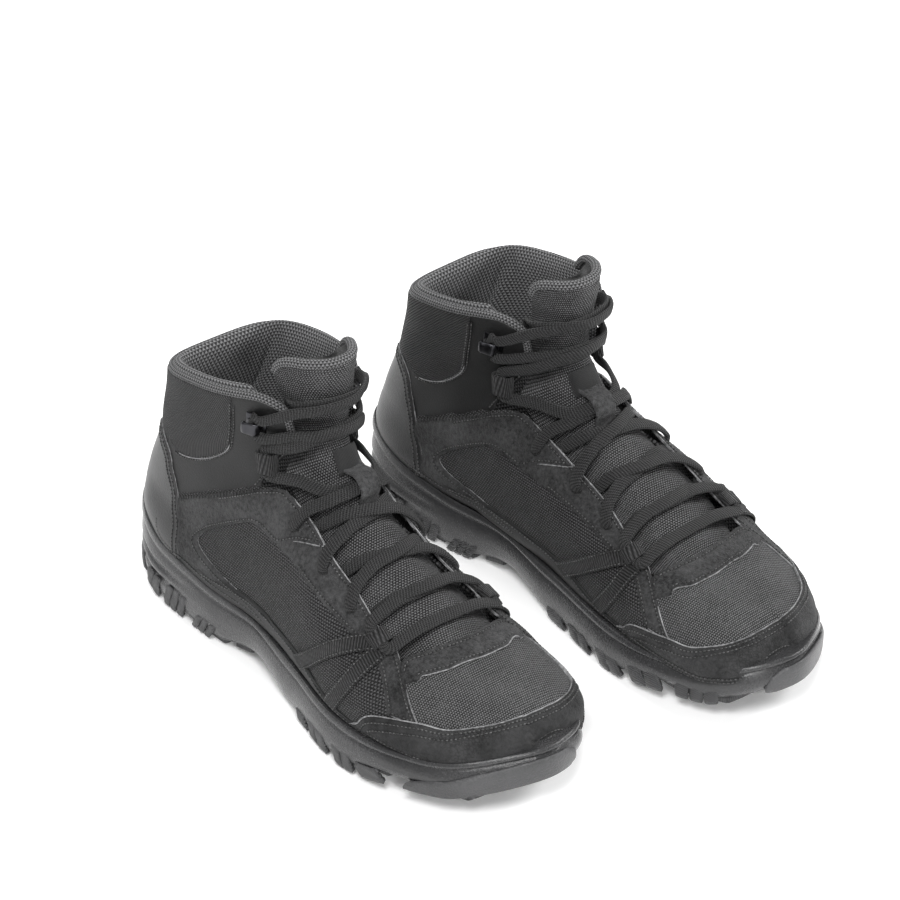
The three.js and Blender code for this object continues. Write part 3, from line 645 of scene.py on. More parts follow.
def sewAlong(pattern, line, height, across=False):
    # a stitch each pitch with a needle hole before it, drawn as a black dot of painted shade, or ticks that
    # cross the line
    if len(line) < 3:
        return
    pitch = thread["tickPitch"] if across else thread["pitch"]
    points = pattern.lift(line, height)
    over = pattern.lift(line, height + 1)
    run = np.concatenate(([0], np.cumsum(np.linalg.norm(np.diff(points, axis=0), axis=1)))) * 1000

    def at(where, line3):
        return np.array([np.interp(where, run, line3[:, i]) for i in range(3)])

    for where in np.arange(pitch / 2, run[-1], pitch):
        place = at(where, points)
        n = at(where, over) - place
        n /= np.linalg.norm(n)
        ahead = at(where + 0.8, points) - at(where - 0.8, points)
        ahead /= np.linalg.norm(ahead)
        if across:
            ticks.append((place, np.cross(n, ahead) + ahead * 0.12, n, thread["tick"], thread["tickWidth"]))
        else:
            stitches.append((place + n * 0.0001, ahead, n, thread["length"], thread["width"]))
            # the needle hole is a black dot of painted shade
            holes.append((at(where - pitch / 2, points), ahead, n, thread["hole"], thread["hole"]))


def shownRuns(pattern, outline, inset, keep):
    # the stretches of a panel's outline, moved in by the inset, where keep holds
    line = anticlockwise(curve(pattern.flat(outline), True, 1.2))
    moved = line - outwardNormals(line) * inset
    good = (distanceTo(moved, line) > abs(inset) - 0.25) & keep(*pattern.places(moved))
    if good.all():
        return [np.concatenate([moved, moved[:1]])]
    start = int(np.argmin(good))
    moved, good = np.roll(moved, -start, 0), np.roll(good, -start)
    runs, run = [], []
    for point, shown in [*zip(moved, good), (None, False)]:
        if shown:
            run.append(point)
        elif run:
            runs.append(np.array(run))
            run = []
    return [run for run in runs if len(run) > 3]


def edgeSeam(pattern, outline, inset, height, keep):
    for run in shownRuns(pattern, outline, inset, keep):
        sewAlong(pattern, run, height)


# the pale strips along the cut edges: partly raw cut, partly painted highlight
cutAndHighlightEdges = []  # pattern, line and height of each pale cut edge that shows


# the chosen stretches of edge get a pale strip, partly raw cut and partly painted highlight
def paleCutAndHighlightEdge(pattern, outline, height, keep):
    for run in shownRuns(pattern, outline, 0.1, keep):
        cutAndHighlightEdges.append((pattern, run, height))


def makeCutAndHighlightEdges():
    whole = bmesh.new()
    for pattern, run, height in cutAndHighlightEdges:
        centres = pattern.lift(run, height)
        normals = pattern.lift(run, height + 1) - centres
        ends = np.minimum(np.arange(len(run)), np.arange(len(run))[::-1])
        widths = [(k, k) for k in np.clip(0.35 + ends * 0.2, 0, 1)]
        join(whole, sweep(centres, normals, oval(0.0007, 0.0007, 6), widths))
    # one pale strip of painted highlight and raw cut for every shown edge
    bothBoots("pale_edge_and_highlight_strips", whole, "cutEdgeAndHighlight")


def seam(pattern, places, height, across=False):
    sewAlong(pattern, curve(pattern.flat(places), False, 1.2), height, across)


def makeStitching():
    for name, rows, finish in (("stitching", stitches, "thread"), ("hole_shade_dots", holes, "needleHoleShade"),
                               ("zigzag_ticks", ticks, "darkThread")):
        whole = bmesh.new()
        for first in range(0, len(rows), 120):
            part = bmesh.new()
            for place, ahead, n, length, width in rows[first:first + 120]:
                side = np.cross(n, ahead)
                axes = np.stack([ahead * length / 2, side * width / 2, n * width * 0.4], 1) / 1000
                matrix = Matrix([[*axes[i], place[i]] for i in range(3)] + [[0, 0, 0, 1]])
                bmesh.ops.create_icosphere(part, subdivisions=1, radius=1, matrix=matrix)
            join(whole, part)
        bothBoots(name, whole, finish)
    print("stitches sewn:", len(stitches), "a boot")


# heights over the last and the rings along a panel's edge, as (width, drop), in millimetres
layer = {
    "lining": -1.4, "footbed": 0.4, "base": 1.0, "eyestay": 1.75, "overlay": 2.0, "throat": 2.1,
    "mudguard": 2.15, "counter": 2.2, "rand": 2.35,
}
plainEdge = [(0.4, 0.5), (0.6, 0.1)]
sewnEdge = [(0.35, 0.5), (0.5, 0.1), (0.65, 0.0), (0.6, 0.0), (0.6, 0.3)]
doubleEdge = sewnEdge + [(1.3, 0.0), (0.6, 0.0), (0.6, 0.3)]
seamRows = (2.1, 4.6)  # how far in from the edge the first and second row of stitches lie
cloth = {"thin": 0.9, "film": 1.0, "lining": 1.6, "footbed": 3.4}
cell = {"fine": 2.2, "usual": 2.5, "coarse": 4}

top = UpperPattern(2.0, 150)
side = UpperPattern(5.5, 95)
ankle = UpperPattern(10.5, 90)
heel = UpperPattern(9.0, 60)


def swell(s, a):  # soft unevenness shared by every layer
    return 0.25 * np.sin(s * 2.3 + a * 0.05) * np.sin(a * 0.09 + s) + 0.15 * np.sin(s * 5.1 - a * 0.11)


def footSwell(s, a):
    # towards the sole the upper fills out to the midsole's lip
    at = lastPoint(s, a) * 1000
    f = last["middleF"] - at[:, 1]
    gap = np.where(at[:, 0] > 0, np.interp(f, *lipGap["outer"]), np.interp(f, *lipGap["inner"]))
    lip = cupTop(f)
    return np.maximum(gap - 2.6, 0) * 1.08 * smoothstep(at[:, 2], lip + 26, lip + 1)


def dimple(pattern, centre, depth, radius):
    x, y = pattern.flat([centre])[0]

    def sink(s, a):
        at = pattern.flat(np.stack([s, a], -1))
        return depth * np.exp(-((at[:, 0] - x) ** 2 + (at[:, 1] - y) ** 2) / radius ** 2)
    return sink


def layerHeight(base, sinks=()):
    def height(s, a):
        h = np.full(len(s), float(base))
        for sink in sinks:
            h = h - sink(s, a)
        return h
    return height


# outlines, outer side first, as (station, degrees); a place given twice is a corner
outline = {
    "vamp": [(0.06, 42), (0.06, 42), (3.2, 42), (3.2, 42), (3.2, 110), (3.1, 130), (3.0, 150), (2.95, 184)],
    "quarter": [(2.5, 34), (2.5, 34), (6.8, 34), (7.4, 24), (7.8, 4), (8.5, 4), (8.5, 4), (8.5, 74),
                (8.1, 118), (7.9, 122), (7.5, 133), (6.7, 136.5), (5.65, 140), (4.9, 144), (4.45, 145),
                (3.7, 141.5), (3.1, 141.5), (3.1, 141.5), (2.72, 101)],
    "shaft": [(8.3, 4), (8.3, 4), (12.0, 4), (12.0, 4), (12.0, 60), (12.0, 104), (11.98, 122),
              (11.72, 131), (11.3, 138), (10.3, 142), (9.25, 143.6), (9.12, 143), (8.9, 139), (8.12, 124),
              (7.9, 121), (8.08, 99), (8.25, 74)],
    "backPanel": [(10.45, 0), (10.4, 20), (10.1, 45), (9.62, 66), (9.43, 84), (9.47, 95), (9.72, 102.5),
                  (10.3, 103.5), (12.0, 103.5), (12.0, 103.5)],
    "suede": [(8.25, 52), (8.25, 52), (8.27, 74), (8.06, 99), (7.83, 121), (7.83, 121), (7.5, 133),
              (7.2, 136.5), (6.7, 139), (5.75, 142), (5.6, 142), (5.63, 139), (6.1, 123), (6.28, 112.5),
              (6.4, 109), (6.75, 107.5), (7.0, 103), (7.2, 84), (7.22, 70), (7.1, 62), (6.7, 58.5),
              (5.9, 54), (5.75, 50), (5.85, 44), (6.9, 40), (7.6, 40)],
    "eyestay": [(2.38, 101), (2.38, 101), (2.92, 128), (3.38, 143), (3.7, 144), (4.45, 147.5),
                (4.9, 146.5), (5.65, 142.5), (6.4, 139), (6.5, 125), (6.32, 109), (6.32, 109),
                (5.5, 115.5), (4.8, 121), (4.3, 125), (3.65, 128), (3.25, 117), (2.93, 96), (2.93, 96)],
    "throat": [(3.0, 128), (2.9, 134), (2.83, 139), (2.86, 143), (2.8, 148), (2.69, 160), (2.65, 172),
               (2.6, 184), (2.62, 196), (2.66, 206), (2.78, 216), (2.82, 222), (2.77, 226), (2.9, 234),
               (3.0, 240), (3.2, 234), (3.26, 224), (3.14, 204), (3.06, 184), (3.14, 163), (3.26, 146),
               (3.2, 136)],
    "randSide": [(3.78, 42), (3.8, 48), (3.68, 55), (3.5, 63), (3.2, 85), (2.42, 104), (1.9, 112),
                 (1.4, 134), (1.14, 158), (1.08, 180)],
    "mudguard": [(2.9, 34), (2.9, 34), (2.9, 50), (3.25, 55), (4.02, 58), (4.94, 64.5), (5.75, 61),
                 (6.67, 51), (7.1, 40), (7.0, 34), (7.0, 34)],
    "counter": [(7.85, 1), (7.45, 26), (7.02, 40), (7.02, 40), (7.2, 50), (7.55, 62), (8.0, 67.5),
                (8.4, 69.5), (9.0, 66.5), (9.6, 58), (10.1, 43), (10.42, 22), (10.5, 1)],
    "lining": [(1.1, 46), (3.4, 46), (6.75, 46), (7.4, 29), (7.9, 0), (9.3, 0), (9.3, 0), (9.3, 60),
               (9.1, 120), (8.9, 126), (8.2, 119), (7.4, 114), (6.3, 118), (5.2, 124), (4.4, 127),
               (3.6, 131), (3.1, 134)],
    "footbed": [(1.1, 34), (3, 37), (6.7, 37), (7.25, 20), (7.55, 2)],
}
seams = {
    "zigzag": [(8.26, 71), (8.26, 80), (8.06, 99), (7.85, 120)],
    "notch": [(9.35, 141.5), (9.0, 137.5), (8.3, 125), (8.02, 119)],
}
laceHoles = [(4.4, 137), (5.2, 134), (6.3, 128)]
frontLoop, ankleLoop, hookPlace = (3.76, 139.5), (8.95, 131), (11, 121)


def layPanel(piece, pattern, places, height, edge, finish, node=None, uv="side", size=cell["usual"],
             thick=cloth["thin"], pale=False, sinks=()):
    # a panel with its finish; a pale one shows a pale edge: partly its raw cut, partly a painted highlight where
    # the edge meets the light
    bm = cutPanel(pattern, places, layerHeight(height, sinks), edge, size, uv)
    bothBoots(piece, bm, finish, [node] if node else (), ("cutEdgeAndHighlight",) if pale else (),
              [thickness(thick, int(pale))], False)


def laySides(piece, pattern, places, height, edge, finish, node=None, pale=False, sinks=()):
    for which in ("outer", "inner"):
        there = onSide(which, places)
        sunk = [dimple(pattern, onSide(which, [spot])[0], *size) for spot, *size in sinks]
        layPanel(f"{piece}_{which}", pattern, there, height, edge, finish, node and f"{node}_{which}",
                 pale=pale, sinks=sunk)


def makeBaseLayers():
    base = layer["base"]
    layPanel("toe_box_weave", top, overToe(outline["vamp"]), base, plainEdge, "toeWeave",
             "vamp", "top", cell["fine"])
    laySides("mesh_quarter", side, outline["quarter"], base, plainEdge, "ribMesh", "quarter")
    laySides("ankle_shaft", ankle, outline["shaft"], base, plainEdge, "shaft", "shaft")
    panel = wrapped(outline["backPanel"])
    layPanel("collar_twill", heel, panel, base + 0.75, sewnEdge, "twill", "back_panel", "wrap",
             cell["fine"], pale=True)
    for inset, height, start in ((1.5, 0.6, 85), (-1.5, 0.1, 62)):
        edgeSeam(heel, panel, inset, base + height, lambda s, a: (s < 11.7) & (np.abs(a) > start))
    paleCutAndHighlightEdge(heel, panel, base + 0.5, lambda s, a: (s < 9.95) & (np.abs(a) > 66))
    layPanel("foot_lining", UpperPattern(5.5, 95, False), overToe(outline["lining"]), layer["lining"],
             plainEdge, "spacerMesh", None, "side", cell["coarse"], cloth["lining"])
    layPanel("footbed_top", UpperPattern(9.0, 60, False), wrapped(outline["footbed"]), layer["footbed"],
             plainEdge, "footbed", "footbed", "flat", cell["coarse"], cloth["footbed"])
    print("base layers laid")


def fromMiddle(a):  # the angle as it would be on the outer side
    return np.minimum(a, 360 + last["insideTurn"] - a)


def makeOverlays():
    holes = [(spot, 0.9, 3.2) for spot in laceHoles]
    over, eyestay, throat = layer["overlay"], layer["eyestay"], layer["throat"]
    mudguard, counter, rand = layer["mudguard"], layer["counter"], layer["rand"]
    laySides("suede_quarter", side, outline["suede"], over, sewnEdge, "suede", None, True, holes[2:])
    laySides("eyestay_suede", side, outline["eyestay"], eyestay, sewnEdge, "suede", "eyestay", True,
             holes[:2])
    laySides("mudguard_strip", side, outline["mudguard"], mudguard, sewnEdge, "mudguard",
             "mudguard")
    for which in ("outer", "inner"):
        places = onSide(which, outline["suede"])
        edgeSeam(side, places, seamRows[0], over, lambda s, a: (s < 7.95) & (s > 5.6))
        paleCutAndHighlightEdge(side, places, over - 0.3, lambda s, a: (s < 7.0) & (fromMiddle(a) > 121))
    for which in ("outer", "inner"):
        places = onSide(which, outline["eyestay"])
        edgeSeam(side, places, seamRows[0], eyestay, lambda s, a: s < 5.7)
        paleCutAndHighlightEdge(side, places, eyestay - 0.3, lambda s, a: (fromMiddle(a) > 141) | (s < 2.9))
    for which in ("outer", "inner"):
        edgeSeam(side, onSide(which, outline["mudguard"]), seamRows[0], mudguard,
                 lambda s, a: np.minimum(a, 360 - a) > 46)
    layPanel("throat_tab_suede", top, outline["throat"], throat, sewnEdge, "suede", "throat_tab",
             "top", cell["fine"], pale=True)
    edgeSeam(top, outline["throat"], seamRows[0], throat, lambda s, a: (a > 136) & (a < 232))
    paleCutAndHighlightEdge(top, outline["throat"], throat - 0.3, lambda s, a: (s < 2.95) & (a > 138) & (a < 230))
    places = overToe([(0.06, 42), (0.06, 42), (3.78, 42)] + outline["randSide"])
    layPanel("toe_rand_suede", top, places, rand, doubleEdge, "rand", "toe_rand", "top",
             cell["fine"], cloth["film"], True)
    for inset in seamRows:
        edgeSeam(top, places, inset, rand, lambda s, a: fromMiddle(a) > 47)
    paleCutAndHighlightEdge(top, places, rand - 0.3, lambda s, a: (fromMiddle(a) > 52) & (s > 0.9))
    places = wrapped(outline["counter"])
    layPanel("heel_counter_film", heel, places, counter, doubleEdge, "counter", "heel_counter",
             "wrap", cell["fine"], cloth["film"], True)
    for inset in seamRows:
        edgeSeam(heel, places, inset, counter, lambda s, a: (np.abs(a) > 24) & (s > 7.0))
    for which in ("outer", "inner"):
        seam(side, onSide(which, seams["zigzag"]), over + 0.05, True)
    for which in ("outer", "inner"):
        seam(side, onSide(which, seams["notch"]), layer["base"] + 0.1)
    print("overlays laid")


def surfaceRoute(pattern, places, height, gap=2.0):
    line = curve(pattern.flat([p[:2] for p in places]), False, gap)
    if len(places[0]) > 2:
        share = np.linspace(0, 1, len(places))
        height = np.interp(np.linspace(0, 1, len(line)), share, [p[2] for p in places])
    centres = pattern.lift(line, height)
    normals = pattern.lift(line, height + 1) - centres
    return centres, normals / np.linalg.norm(normals, axis=1, keepdims=True)


strap = {"width": 8.6, "thick": 1.1}
strapRoutes = {
    "rear": [(3.7, 139.5, 3.6), (3.95, 128, 3.0), (4.35, 104, 2.3), (4.7, 78, 2.0), (5.0, 56, 1.9)],
    "front": [(3.62, 139.5, 3.2), (3.66, 128, 2.6), (3.78, 104, 2.0), (3.98, 76, 1.7), (4.22, 48, 1.6)],
}


def makeStraps():
    for which in ("outer", "inner"):
        whole = bmesh.new()
        for name, route in strapRoutes.items():
            places = [(*onSide(which, [(s, a)])[0], h) for s, a, h in route]
            centres, normals = surfaceRoute(side, places, 0)
            join(whole, sweep(centres, normals, oval(strap["width"] / 1000, strap["thick"] / 1000, 14, 4)))
            for edgeSide in (-1, 1):
                flat = curve(side.flat([p[:2] for p in places]), False, 1.2)
                moved = flat + outwardNormals(flat, False) * edgeSide * (strap["width"] / 2 - 1.1)
                lifts = np.interp(np.linspace(0, 1, len(moved)), np.linspace(0, 1, len(places)),
                                  [p[2] for p in places])
                sewAlong(side, moved[3:], lifts[3:] + strap["thick"] / 2)
        join(whole, webbingLoop(which, frontLoop, 2.4, 5.0, 11, 8, 1.2))
        bothBoots(f"webbing_straps_{which}", whole, "webbing", [f"strap_{which}"])
        loop = webbingLoop(which, ankleLoop, 1.2, 6.4, 12, 11, 1.3)
        bothBoots(f"ankle_webbing_{which}", loop, "webbing", [f"ankle_loop_{which}"])
    print("webbing sewn")


def join(whole, part):
    mesh = bpy.data.meshes.new("part")
    part.to_mesh(mesh)
    part.free()
    whole.from_mesh(mesh)
    bpy.data.meshes.remove(mesh)


def frameAt(which, place, height):
    s, a = onSide(which, [place])[0]
    origin = surface(s, a, height)
    n = normalAt(np.float64(s), np.float64(a))
    u = lastPoint(np.float64(s + 0.1), np.float64(a)) - lastPoint(np.float64(s - 0.1), np.float64(a))
    u -= n * (u @ n)
    u /= np.linalg.norm(u)
    t = lastPoint(np.float64(s), np.float64(a + 1)) - lastPoint(np.float64(s), np.float64(a - 1))
    t -= n * (t @ n) + u * (t @ u)
    t /= np.linalg.norm(t)
    if which == "inner":
        t = -t
    return origin, t, u, n


def webbingLoop(which, place, height, tall, wide, long, thick):
    # a folded tape: it stands as a flat oval across the boot, open along it
    origin, t, u, n = frameAt(which, place, height)
    turn = np.linspace(0, 2 * math.pi, 28, endpoint=False)
    c, s = np.cos(turn), np.sin(turn)
    skins = {True: [], False: []}  # the outer and the inner skin
    for along in (-1, -0.93, 0.93, 1):
        pull = 0.15 if abs(along) == 1 else 0.0
        for outerSkin, inset in ((True, pull), (False, thick - pull)):
            x = np.sign(c) * np.abs(c) ** 0.7 * (wide / 2 - inset)
            y = np.sign(s) * np.abs(s) ** 0.7 * (tall / 2 - inset) + tall / 2
            skins[outerSkin].append(origin + (x[:, None] * t + y[:, None] * n + along * long / 2 * u) / 1000)
    rings = skins[True] + skins[False][::-1] + skins[True][:1]
    count = len(turn)
    along = [0, 0.5, long, long + 0.5, long + 1, long + 1.5, 2 * long, 2 * long + 1, 2 * long + 2]
    across = np.arange(count + 1) * (2 * (wide + tall) / count)
    uv = np.stack(np.meshgrid(across, along), -1)[..., ::-1] / 1000
    bm = loft(rings, True, False, uv)
    bmesh.ops.remove_doubles(bm, verts=bm.verts, dist=1e-6)
    return bm


hook = {
    "width": 8.0, "plate": 11.0, "plateThick": 0.9, "sheet": 1.9, "reach": 5.9, "arm": 6.6, "bend": 1.7,
    "rivet": 2.4, "tipRound": 1.4,
}


def hookPlate():
    bm = bmesh.new()
    size = (hook["plate"], hook["plate"] - 1, hook["plateThick"], 1)
    bmesh.ops.create_cube(bm, size=1, matrix=Matrix.Diagonal(size))
    bmesh.ops.bevel(bm, geom=bm.edges, offset=0.4, affect="EDGES", segments=3, profile=0.5, material=-1)
    bmesh.ops.translate(bm, verts=bm.verts, vec=(0, 0, hook["plateThick"] / 2))
    return bm


def hookArm():
    # the bent sheet rises from the plate, turns back over it and dips at its end
    r, high, root, reach = hook["bend"], hook["reach"], 2.6, hook["arm"]
    turns = np.linspace(0, math.pi / 2, 8)
    path = [(root, 0.5), (root, 2.2)]
    path += [(root - r + r * math.cos(k), high - r + r * math.sin(k)) for k in turns]
    path += [(-1.5, high + 0.15), (root - reach, high + 0.5), (root - 0.2 - reach, high - 0.4),
             (root - 0.1 - reach, high - 1.6)]
    route = curve([(x, 0, z) for x, z in path], False, 0.5)
    ahead = np.gradient(route, axis=0)
    upward = np.stack([-ahead[:, 2], np.zeros(len(route)), ahead[:, 0]], -1)
    upward /= np.linalg.norm(upward, axis=1, keepdims=True)
    share = np.linspace(0, 1, len(route))
    tip = np.minimum(share, 1 - share) * len(route) * 0.5  # millimetres from either end
    close = np.sqrt(np.clip(1 - np.maximum(1 - tip / hook["tipRound"], 0) ** 2, 0.04, 1))
    widths = [((1 - 0.15 * smoothstep(k, 0.5, 1)) * c ** 0.5, (1 + 0.4 * smoothstep(k, 0.6, 0.95)) * c)
              for k, c in zip(share, close)]
    return sweep(route, upward, oval(hook["width"], hook["sheet"], 24, 2.6), widths)


def hookRivet():
    bm = bmesh.new()
    bmesh.ops.create_cone(bm, cap_ends=True, segments=24, radius1=hook["rivet"], radius2=hook["rivet"] - 0.8,
                          depth=0.9)
    rim = [e for e in bm.edges if all(v.co.z > 0 for v in e.verts)]
    bmesh.ops.bevel(bm, geom=rim, offset=0.35, affect="EDGES", segments=3, profile=0.5, material=-1)
    bmesh.ops.translate(bm, verts=bm.verts, vec=(-2.6, 0, 1.2))
    return bm


def makeHooks():
    for which in ("outer", "inner"):
        origin, t, u, n = frameAt(which, hookPlace, layer["base"] + 0.7)
        matrix = Matrix([[*(axis[i] for axis in (t, u, n)), origin[i]] for i in range(3)] + [[0, 0, 0, 1]])
        whole = bmesh.new()
        for part in (hookPlate(), hookArm(), hookRivet()):
            join(whole, part)
        bmesh.ops.scale(whole, vec=(0.001, 0.001, 0.001), verts=whole.verts)
        bmesh.ops.transform(whole, matrix=matrix, verts=whole.verts)
        bothBoots(f"speed_hook_{which}", whole, "metal", [f"hook_{which}"])
    print("hooks riveted")


lace = {"width": 6.4, "thick": 2.6}


def laceHalf(startOuter):
    # half the lace, from the front strand up one way through the loops, holes and hooks
    route = []  # place, normal and how wide the lace lies there
    sides = ["outer", "inner"] if startOuter else ["inner", "outer"]  # the side it is on comes first

    def place(s, a, h, squeeze=1.0):
        angle = onSide(sides[0], [(s, a)])[0][1]
        n = normalAt(np.float64(s), np.float64(angle))
        route.append((surface(s, angle, h), n, squeeze))

    def throughLoop(spot, height, tall):
        origin, _, u, n = frameAt(sides[0], spot, height)
        for end in (-1, 0, 1):
            route.append((origin + (u * end * 7 + n * tall / 2) / 1000, n, 0.9))

    crown = 3.1 if startOuter else 5.8
    place(3.5, 168, 4.6)
    place(3.5, 152, 5)
    throughLoop(frontLoop, 2.4, 5.0)
    place(4.05, 148, 4.4)
    for k, (s, a) in enumerate(laceHoles):
        edge = 148 - 3.2 * k
        start = 4.05 if k == 0 else laceHoles[k - 1][0] + 0.2
        quarter, late, end = (start + (s - 0.25 - start) * share for share in (0.25, 0.75, 0.95))
        place(quarter, 165, (crown + 4.2) / 2)
        place((start + s - 0.35) / 2, midline, crown)
        sides.reverse()
        place(late, 165, crown * 0.5 + 0.3)
        place(end, edge + 6, -0.1)
        place(s - 0.2, edge - 1, -1.6, 0.9)
        place(s, a - 0.5, -1.6, 0.75)
        place(s, a, 1, 0.7)
        place(s + 0.06, a + 1, 3.4, 0.85)
        place(s + 0.2, edge + 1, 4.2)
    place(6.42, 162, (crown + 3.6) / 2 + 0.4)
    place(6.45, midline, crown)
    sides.reverse()
    place(6.7, 162, crown * 0.5 + 1.5)
    place(7.6, 146, 3.4)
    throughLoop(ankleLoop, 1.2, 6.4)
    place(9.6, 146, 4.6)
    place(9.8, 163, crown * 0.6 + 1.6)
    place(9.95, midline, crown)
    sides.reverse()
    place(10.1, 163, crown * 0.6 + 1.6)
    place(10.25, 146, 3.6)
    origin, t, u, n = frameAt(sides[0], hookPlace, layer["base"] + 0.7)
    roundHook = ((5.5, -6.2, 3.4, 0.2), (-0.6, -5.2, 3.0, 0.9), (-0.6, 5.2, 3.0, 0.9), (5, 6, 3.4, 0.2))
    for x, y, h, tip in roundHook:
        lean = n * (1 - tip) - t * tip
        route.append((origin + (t * x + u * y + n * h) / 1000, lean / np.linalg.norm(lean), 0.85))
    place(11.55, 146, 3.8)
    place(11.65, 163, crown * 0.6 + 1.6)
    place(11.7, midline, crown)
    sides.reverse()
    tucked = ((11.75, 163, crown * 0.4 + 1), (11.7, 147, 0.5), (11.5, 142, -5), (11.1, 138, -11),
              (9.9, 134, -12))
    for spot in tucked:  # the end goes down behind the tongue
        place(*spot)
    return route


def makeLace():
    route = laceHalf(True)[::-1] + laceHalf(False)
    whole = np.array([[*p * 1000, *n, k] for p, n, k in route])
    fine = curve(whole, False, 1.4)
    centres = fine[:, :3] / 1000
    ahead = np.gradient(centres, axis=0)
    ahead /= np.linalg.norm(ahead, axis=1, keepdims=True)
    normals = fine[:, 3:6]
    for _ in range(6):
        between = (normals[:-2] + normals[1:-1] * 2 + normals[2:]) / 4
        normals = np.concatenate([normals[:1], between, normals[-1:]])
    normals = normals - ahead * np.sum(normals * ahead, 1, keepdims=True)
    normals /= np.linalg.norm(normals, axis=1, keepdims=True)
    widths = [(k, 1 / math.sqrt(k)) for k in fine[:, 6]]
    section = oval(lace["width"] / 1000, lace["thick"] / 1000, 14, 2.6)
    bm = sweep(centres, normals, section, widths)
    bothBoots("flat_lace", bm, "lace", ["lace"])
    print("lace threaded")


def puff(bm, pinned, pressure, cap):
    # air pressure swells the closed piece between its pinned seams; no point moves further than the cap
    mesh = bpy.data.meshes.new("stuffing")
    bm.to_mesh(mesh)
    body = bpy.data.objects.new("stuffing", mesh)
    bpy.context.scene.collection.objects.link(body)
    group = body.vertex_groups.new(name="seams")
    group.add([int(k) for k in pinned], 1.0, "REPLACE")
    cloth = body.modifiers.new("stuffing", "CLOTH")
    cloth.settings.quality = 4
    cloth.settings.use_pressure = True
    cloth.settings.uniform_pressure_force = pressure
    cloth.settings.vertex_group_mass = "seams"
    cloth.settings.effector_weights.gravity = 0
    cloth.point_cache.frame_start, cloth.point_cache.frame_end = 1, 20
    start = np.array([v.co for v in mesh.vertices])
    for at in range(1, 21):
        bpy.context.scene.frame_set(at)
    swollen = body.evaluated_get(bpy.context.evaluated_depsgraph_get()).to_mesh()
    move = np.array([v.co for v in swollen.vertices]) - start
    length = np.linalg.norm(move, axis=1, keepdims=True)
    move *= np.minimum(1, cap / np.maximum(length, 1e-9))
    bpy.data.objects.remove(body)
    bpy.context.scene.frame_set(1)
    bm.verts.ensure_lookup_table()
    for v, place in zip(bm.verts, start + move):
        v.co = place


collar = {
    "outer": -0.5, "inner": -6.9, "rings": 96, "pressure": 4.0, "cap": 0.0016, "fill": 0.6,
    "binding": (0.0042, 0.0044),
}


def collarEdge(s):
    return np.interp(s, [8.7, 9.2, 9.8, 10.3, 11.0, 11.3, 11.7, 12.0, 12.5],
                     [139, 141.5, 142, 141, 139, 136.5, 130.5, 121, 113])


def makeCollar():
    # the section runs up the outside, over the rim and down the inside
    outside = [(s, collar["outer"]) for s in np.linspace(9.0, 11.85, 12)]
    over = [(12.12, -0.6), (12.3, -1.4), (12.42, -2.7), (12.45, -4.0), (12.38, -5.4), (12.2, -6.5)]
    inside = [(s, collar["inner"]) for s in np.linspace(11.9, 9.6, 11)]
    low = [(9.3, -6.3), (9.0, -5.0), (8.8, -3.6), (8.8, -2.0)]
    section = np.array(outside + over + inside + low)
    rings = []
    for u in np.linspace(-1, 1, collar["rings"]):
        end = math.sqrt(max(1 - max((abs(u) - 0.93) / 0.07, 0) ** 2, 0.02))
        middle = (collar["outer"] + collar["inner"]) / 2
        h = middle + (section[:, 1] - middle) * end
        a = collarEdge(section[:, 0]) * abs(u) ** 1.6
        a = a if u >= 0 else innerAngle(a) - 360
        rings.append(surface(section[:, 0], a, h))
    rings = np.array(rings)
    along = np.concatenate(([0], np.cumsum(np.linalg.norm(np.diff(rings[:, 14], axis=0), axis=1))))
    loopOf = np.concatenate([rings, rings[:, :1]], 1)[len(rings) // 4]
    across = np.concatenate(([0], np.cumsum(np.linalg.norm(np.diff(loopOf, axis=0), axis=1))))
    bm = loft(rings, True, True, np.stack(np.meshgrid(across, along), -1))
    bm.verts.ensure_lookup_table()
    seamAt = {0, 1, 10, 11, 27, 28}
    pinned = [v.index for v in bm.verts if v.index % len(section) in seamAt]
    puff(bm, pinned, collar["pressure"], collar["cap"])
    pads = bothBoots("collar_padding", bm, "spacerMesh", ["lining"], (), [rounding()])
    edge = [(9.28, 144), (9.8, 143.6), (10.3, 142.8), (10.9, 140.8), (11.35, 138), (11.72, 132), (11.98, 123),
            (12.06, 112), (12.07, 95), (12.07, 70), (12.07, 40), (12.07, 15)]
    whole = wrapped(edge)
    whole.insert(len(edge), (12.07, 0.0))
    centres, normals = surfaceRoute(UpperPattern(12, 140), whole, -0.9, 2.2)
    bm = sweep(centres, normals, oval(*collar["binding"], 16, 2.3))
    bothBoots("collar_binding", bm, "trimMesh", (), (), [rounding()])
    print("collar padded")


tongue = {"thick": 5.0, "pressure": 4.0, "cap": 0.0018, "fill": 0.5, "binding": (0.0044, 0.0050),
          "around": 44}


def tongueHigh(s, a):
    aside = np.abs(a - midline)
    high = smoothstep(s, 7.4, 8.8)
    crown = 0.6 - (2.6 + 2.6 * high) * smoothstep(aside, 0, 45)
    return crown - (0.06 + 0.10 * high) * np.maximum(aside - 36, 0)


